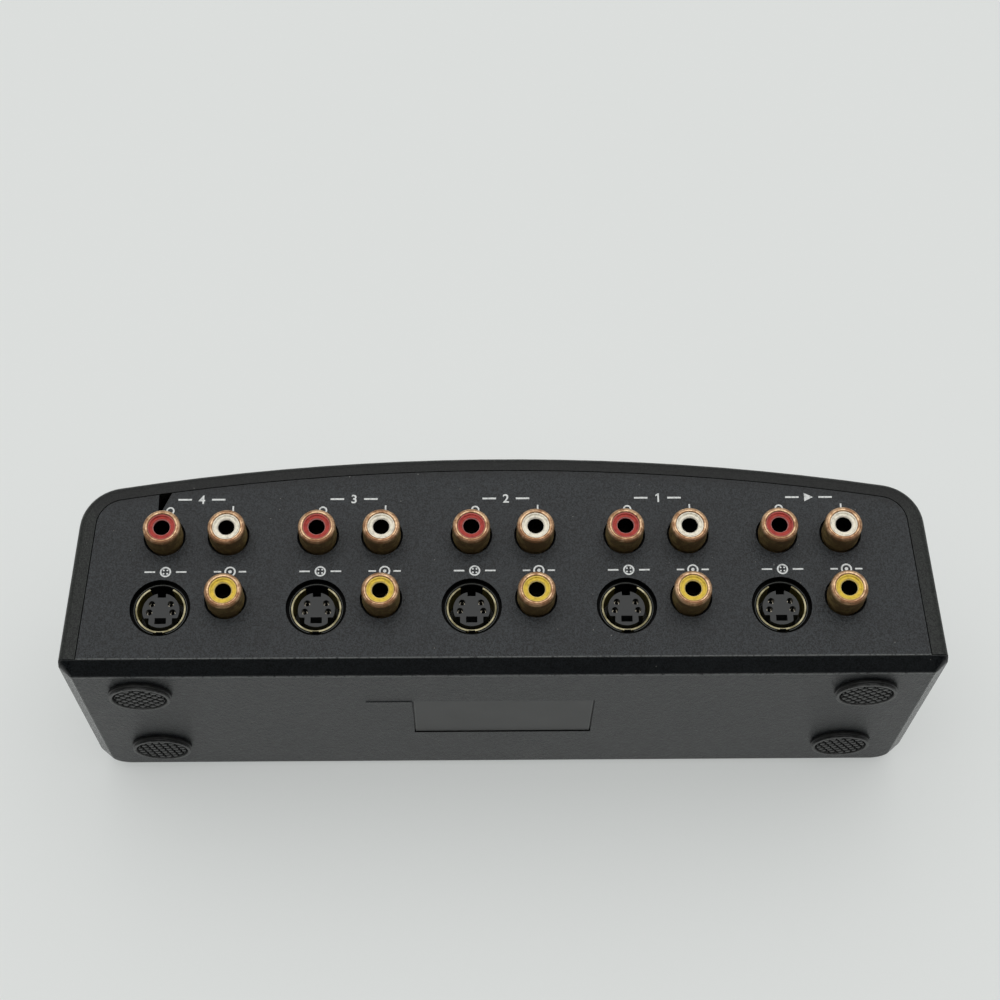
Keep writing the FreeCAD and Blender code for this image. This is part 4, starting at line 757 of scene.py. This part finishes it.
def stage_sheet(name, corners):
    """A pale sheet that shows only from its front: from behind, rays pass.

    For the camera and in reflections part of its light is its own, which thins the shadows on it.
    """
    finish = Finish(name + "_finish", Roughness=0.85, Specular_IOR_Level=0.2)
    cloud = finish.noise(90.0, 3.0)
    grain = finish.noise(0.8, 2.0)
    tone = finish.mix(SHEET, tuple(part * 0.97 for part in SHEET), cloud * 0.7 + grain * 0.3)
    finish.set(Base_Color=tone)
    camera_ray, glossy_ray, transmission_ray = (
        finish.node("ShaderNodeLightPath", out=f"Is {kind} Ray")
        for kind in ("Camera", "Glossy", "Transmission"))
    glow = finish.node("ShaderNodeEmission", None, GLOW, 1.0)
    lit = Signal(finish, finish.shader.outputs[0])
    share = (camera_ray + glossy_ray + transmission_ray).least(1.0) * GLOW_SHARE
    seen = finish.node("ShaderNodeMixShader", None, share, lit, glow)
    back = finish.node("ShaderNodeNewGeometry", out="Backfacing")
    clear = finish.node("ShaderNodeBsdfTransparent")
    shown = finish.node("ShaderNodeMixShader", None, back, seen, clear)
    finish.tree.links.new(shown.socket, finish.tree.nodes["Material Output"].inputs["Surface"])
    mesh = bpy.data.meshes.new(name)
    mesh.from_pydata(corners, [], [(0, 1, 2, 3)])
    mesh.materials.append(finish.material)
    made = bpy.data.objects.new(name, mesh)
    bpy.context.scene.collection.objects.link(made)
    made.visible_shadow = False
    return made


def stage():
    """The photographed table, upright at the front face, and a floor under the feet."""
    reach = 3.0
    table_y = CAD_BOX[0].y - 0.0001
    table = stage_sheet("table", [
        (reach, table_y, -reach), (-reach, table_y, -reach), (-reach, table_y, reach), (reach, table_y, reach)])
    floor = stage_sheet("floor", [
        (-reach, -reach, 0), (reach, -reach, 0), (reach, reach, 0), (-reach, reach, 0)])
    table.visible_diffuse = False
    floor.visible_diffuse = False
    floor.visible_glossy = False


def front_lamp():
    """A wide soft lamp for the front, which the photographed table would leave dark."""
    lamp = bpy.data.lights.new("front_lamp", "AREA")
    lamp.shape = "SQUARE"
    lamp.size, lamp.energy = 1.5, 24.0
    made = bpy.data.objects.new("front_lamp", lamp)
    bpy.context.scene.collection.objects.link(made)
    towards = Vector((0.3, -0.8, 0.5)).normalized()
    made.location = towards * 1.4
    made.rotation_euler = towards.to_track_quat("Z", "Y").to_euler()


def sky():
    """A pale room, brightest straight behind the unit and dark low behind it, where the photographer stood.

    Brightness along a direction is one level, plus a cap round OVERHEAD, less a hollow round SHADE.
    """
    world = bpy.data.worlds.new("sky")
    bpy.context.scene.world = world
    world.use_nodes = True
    net = Net(world.node_tree)
    towards = net.node("ShaderNodeTexCoord", out="Generated")
    cap = net.dot(towards, OVERHEAD).ramp(0.6, 0.97)
    hollow = net.dot(towards, SHADE).ramp(0.1, 0.65)
    level = (1.0 - hollow * 0.94) * 0.5 + cap * 1.28
    seen = net.node("ShaderNodeLightPath", out="Is Camera Ray")
    net.feed(net.tree.nodes["Background"].inputs["Color"], net.mix(level, ROOM, seen))


def camera():
    """The photograph's camera: behind the unit, below it, 72.1 mm lens on a 36 mm sensor."""
    lens = bpy.data.cameras.new("camera")
    lens.lens, lens.sensor_width, lens.clip_start = LENS, 36.0, 0.01
    made = bpy.data.objects.new("camera", lens)
    bpy.context.scene.collection.objects.link(made)
    forward = Vector(FORWARD).normalized()
    up = Vector(UPWARD).normalized()
    right = forward.cross(up).normalized()
    up = right.cross(forward)
    turn = Matrix((right, up, -forward)).transposed().to_4x4()
    made.matrix_world = Matrix.Translation(EYE) @ turn
    bpy.context.scene.camera = made
    bpy.context.scene.view_settings.view_transform = "Standard"


finish_nodes()
for foot_name, (foot_x, foot_y, foot_turn) in FEET.items():
    moulded_foot(foot_name, foot_x, foot_y, foot_turn)
return_springs()
rear_marks()
button_marks()
contact_prongs()
stage()
sky()
front_lamp()
camera()
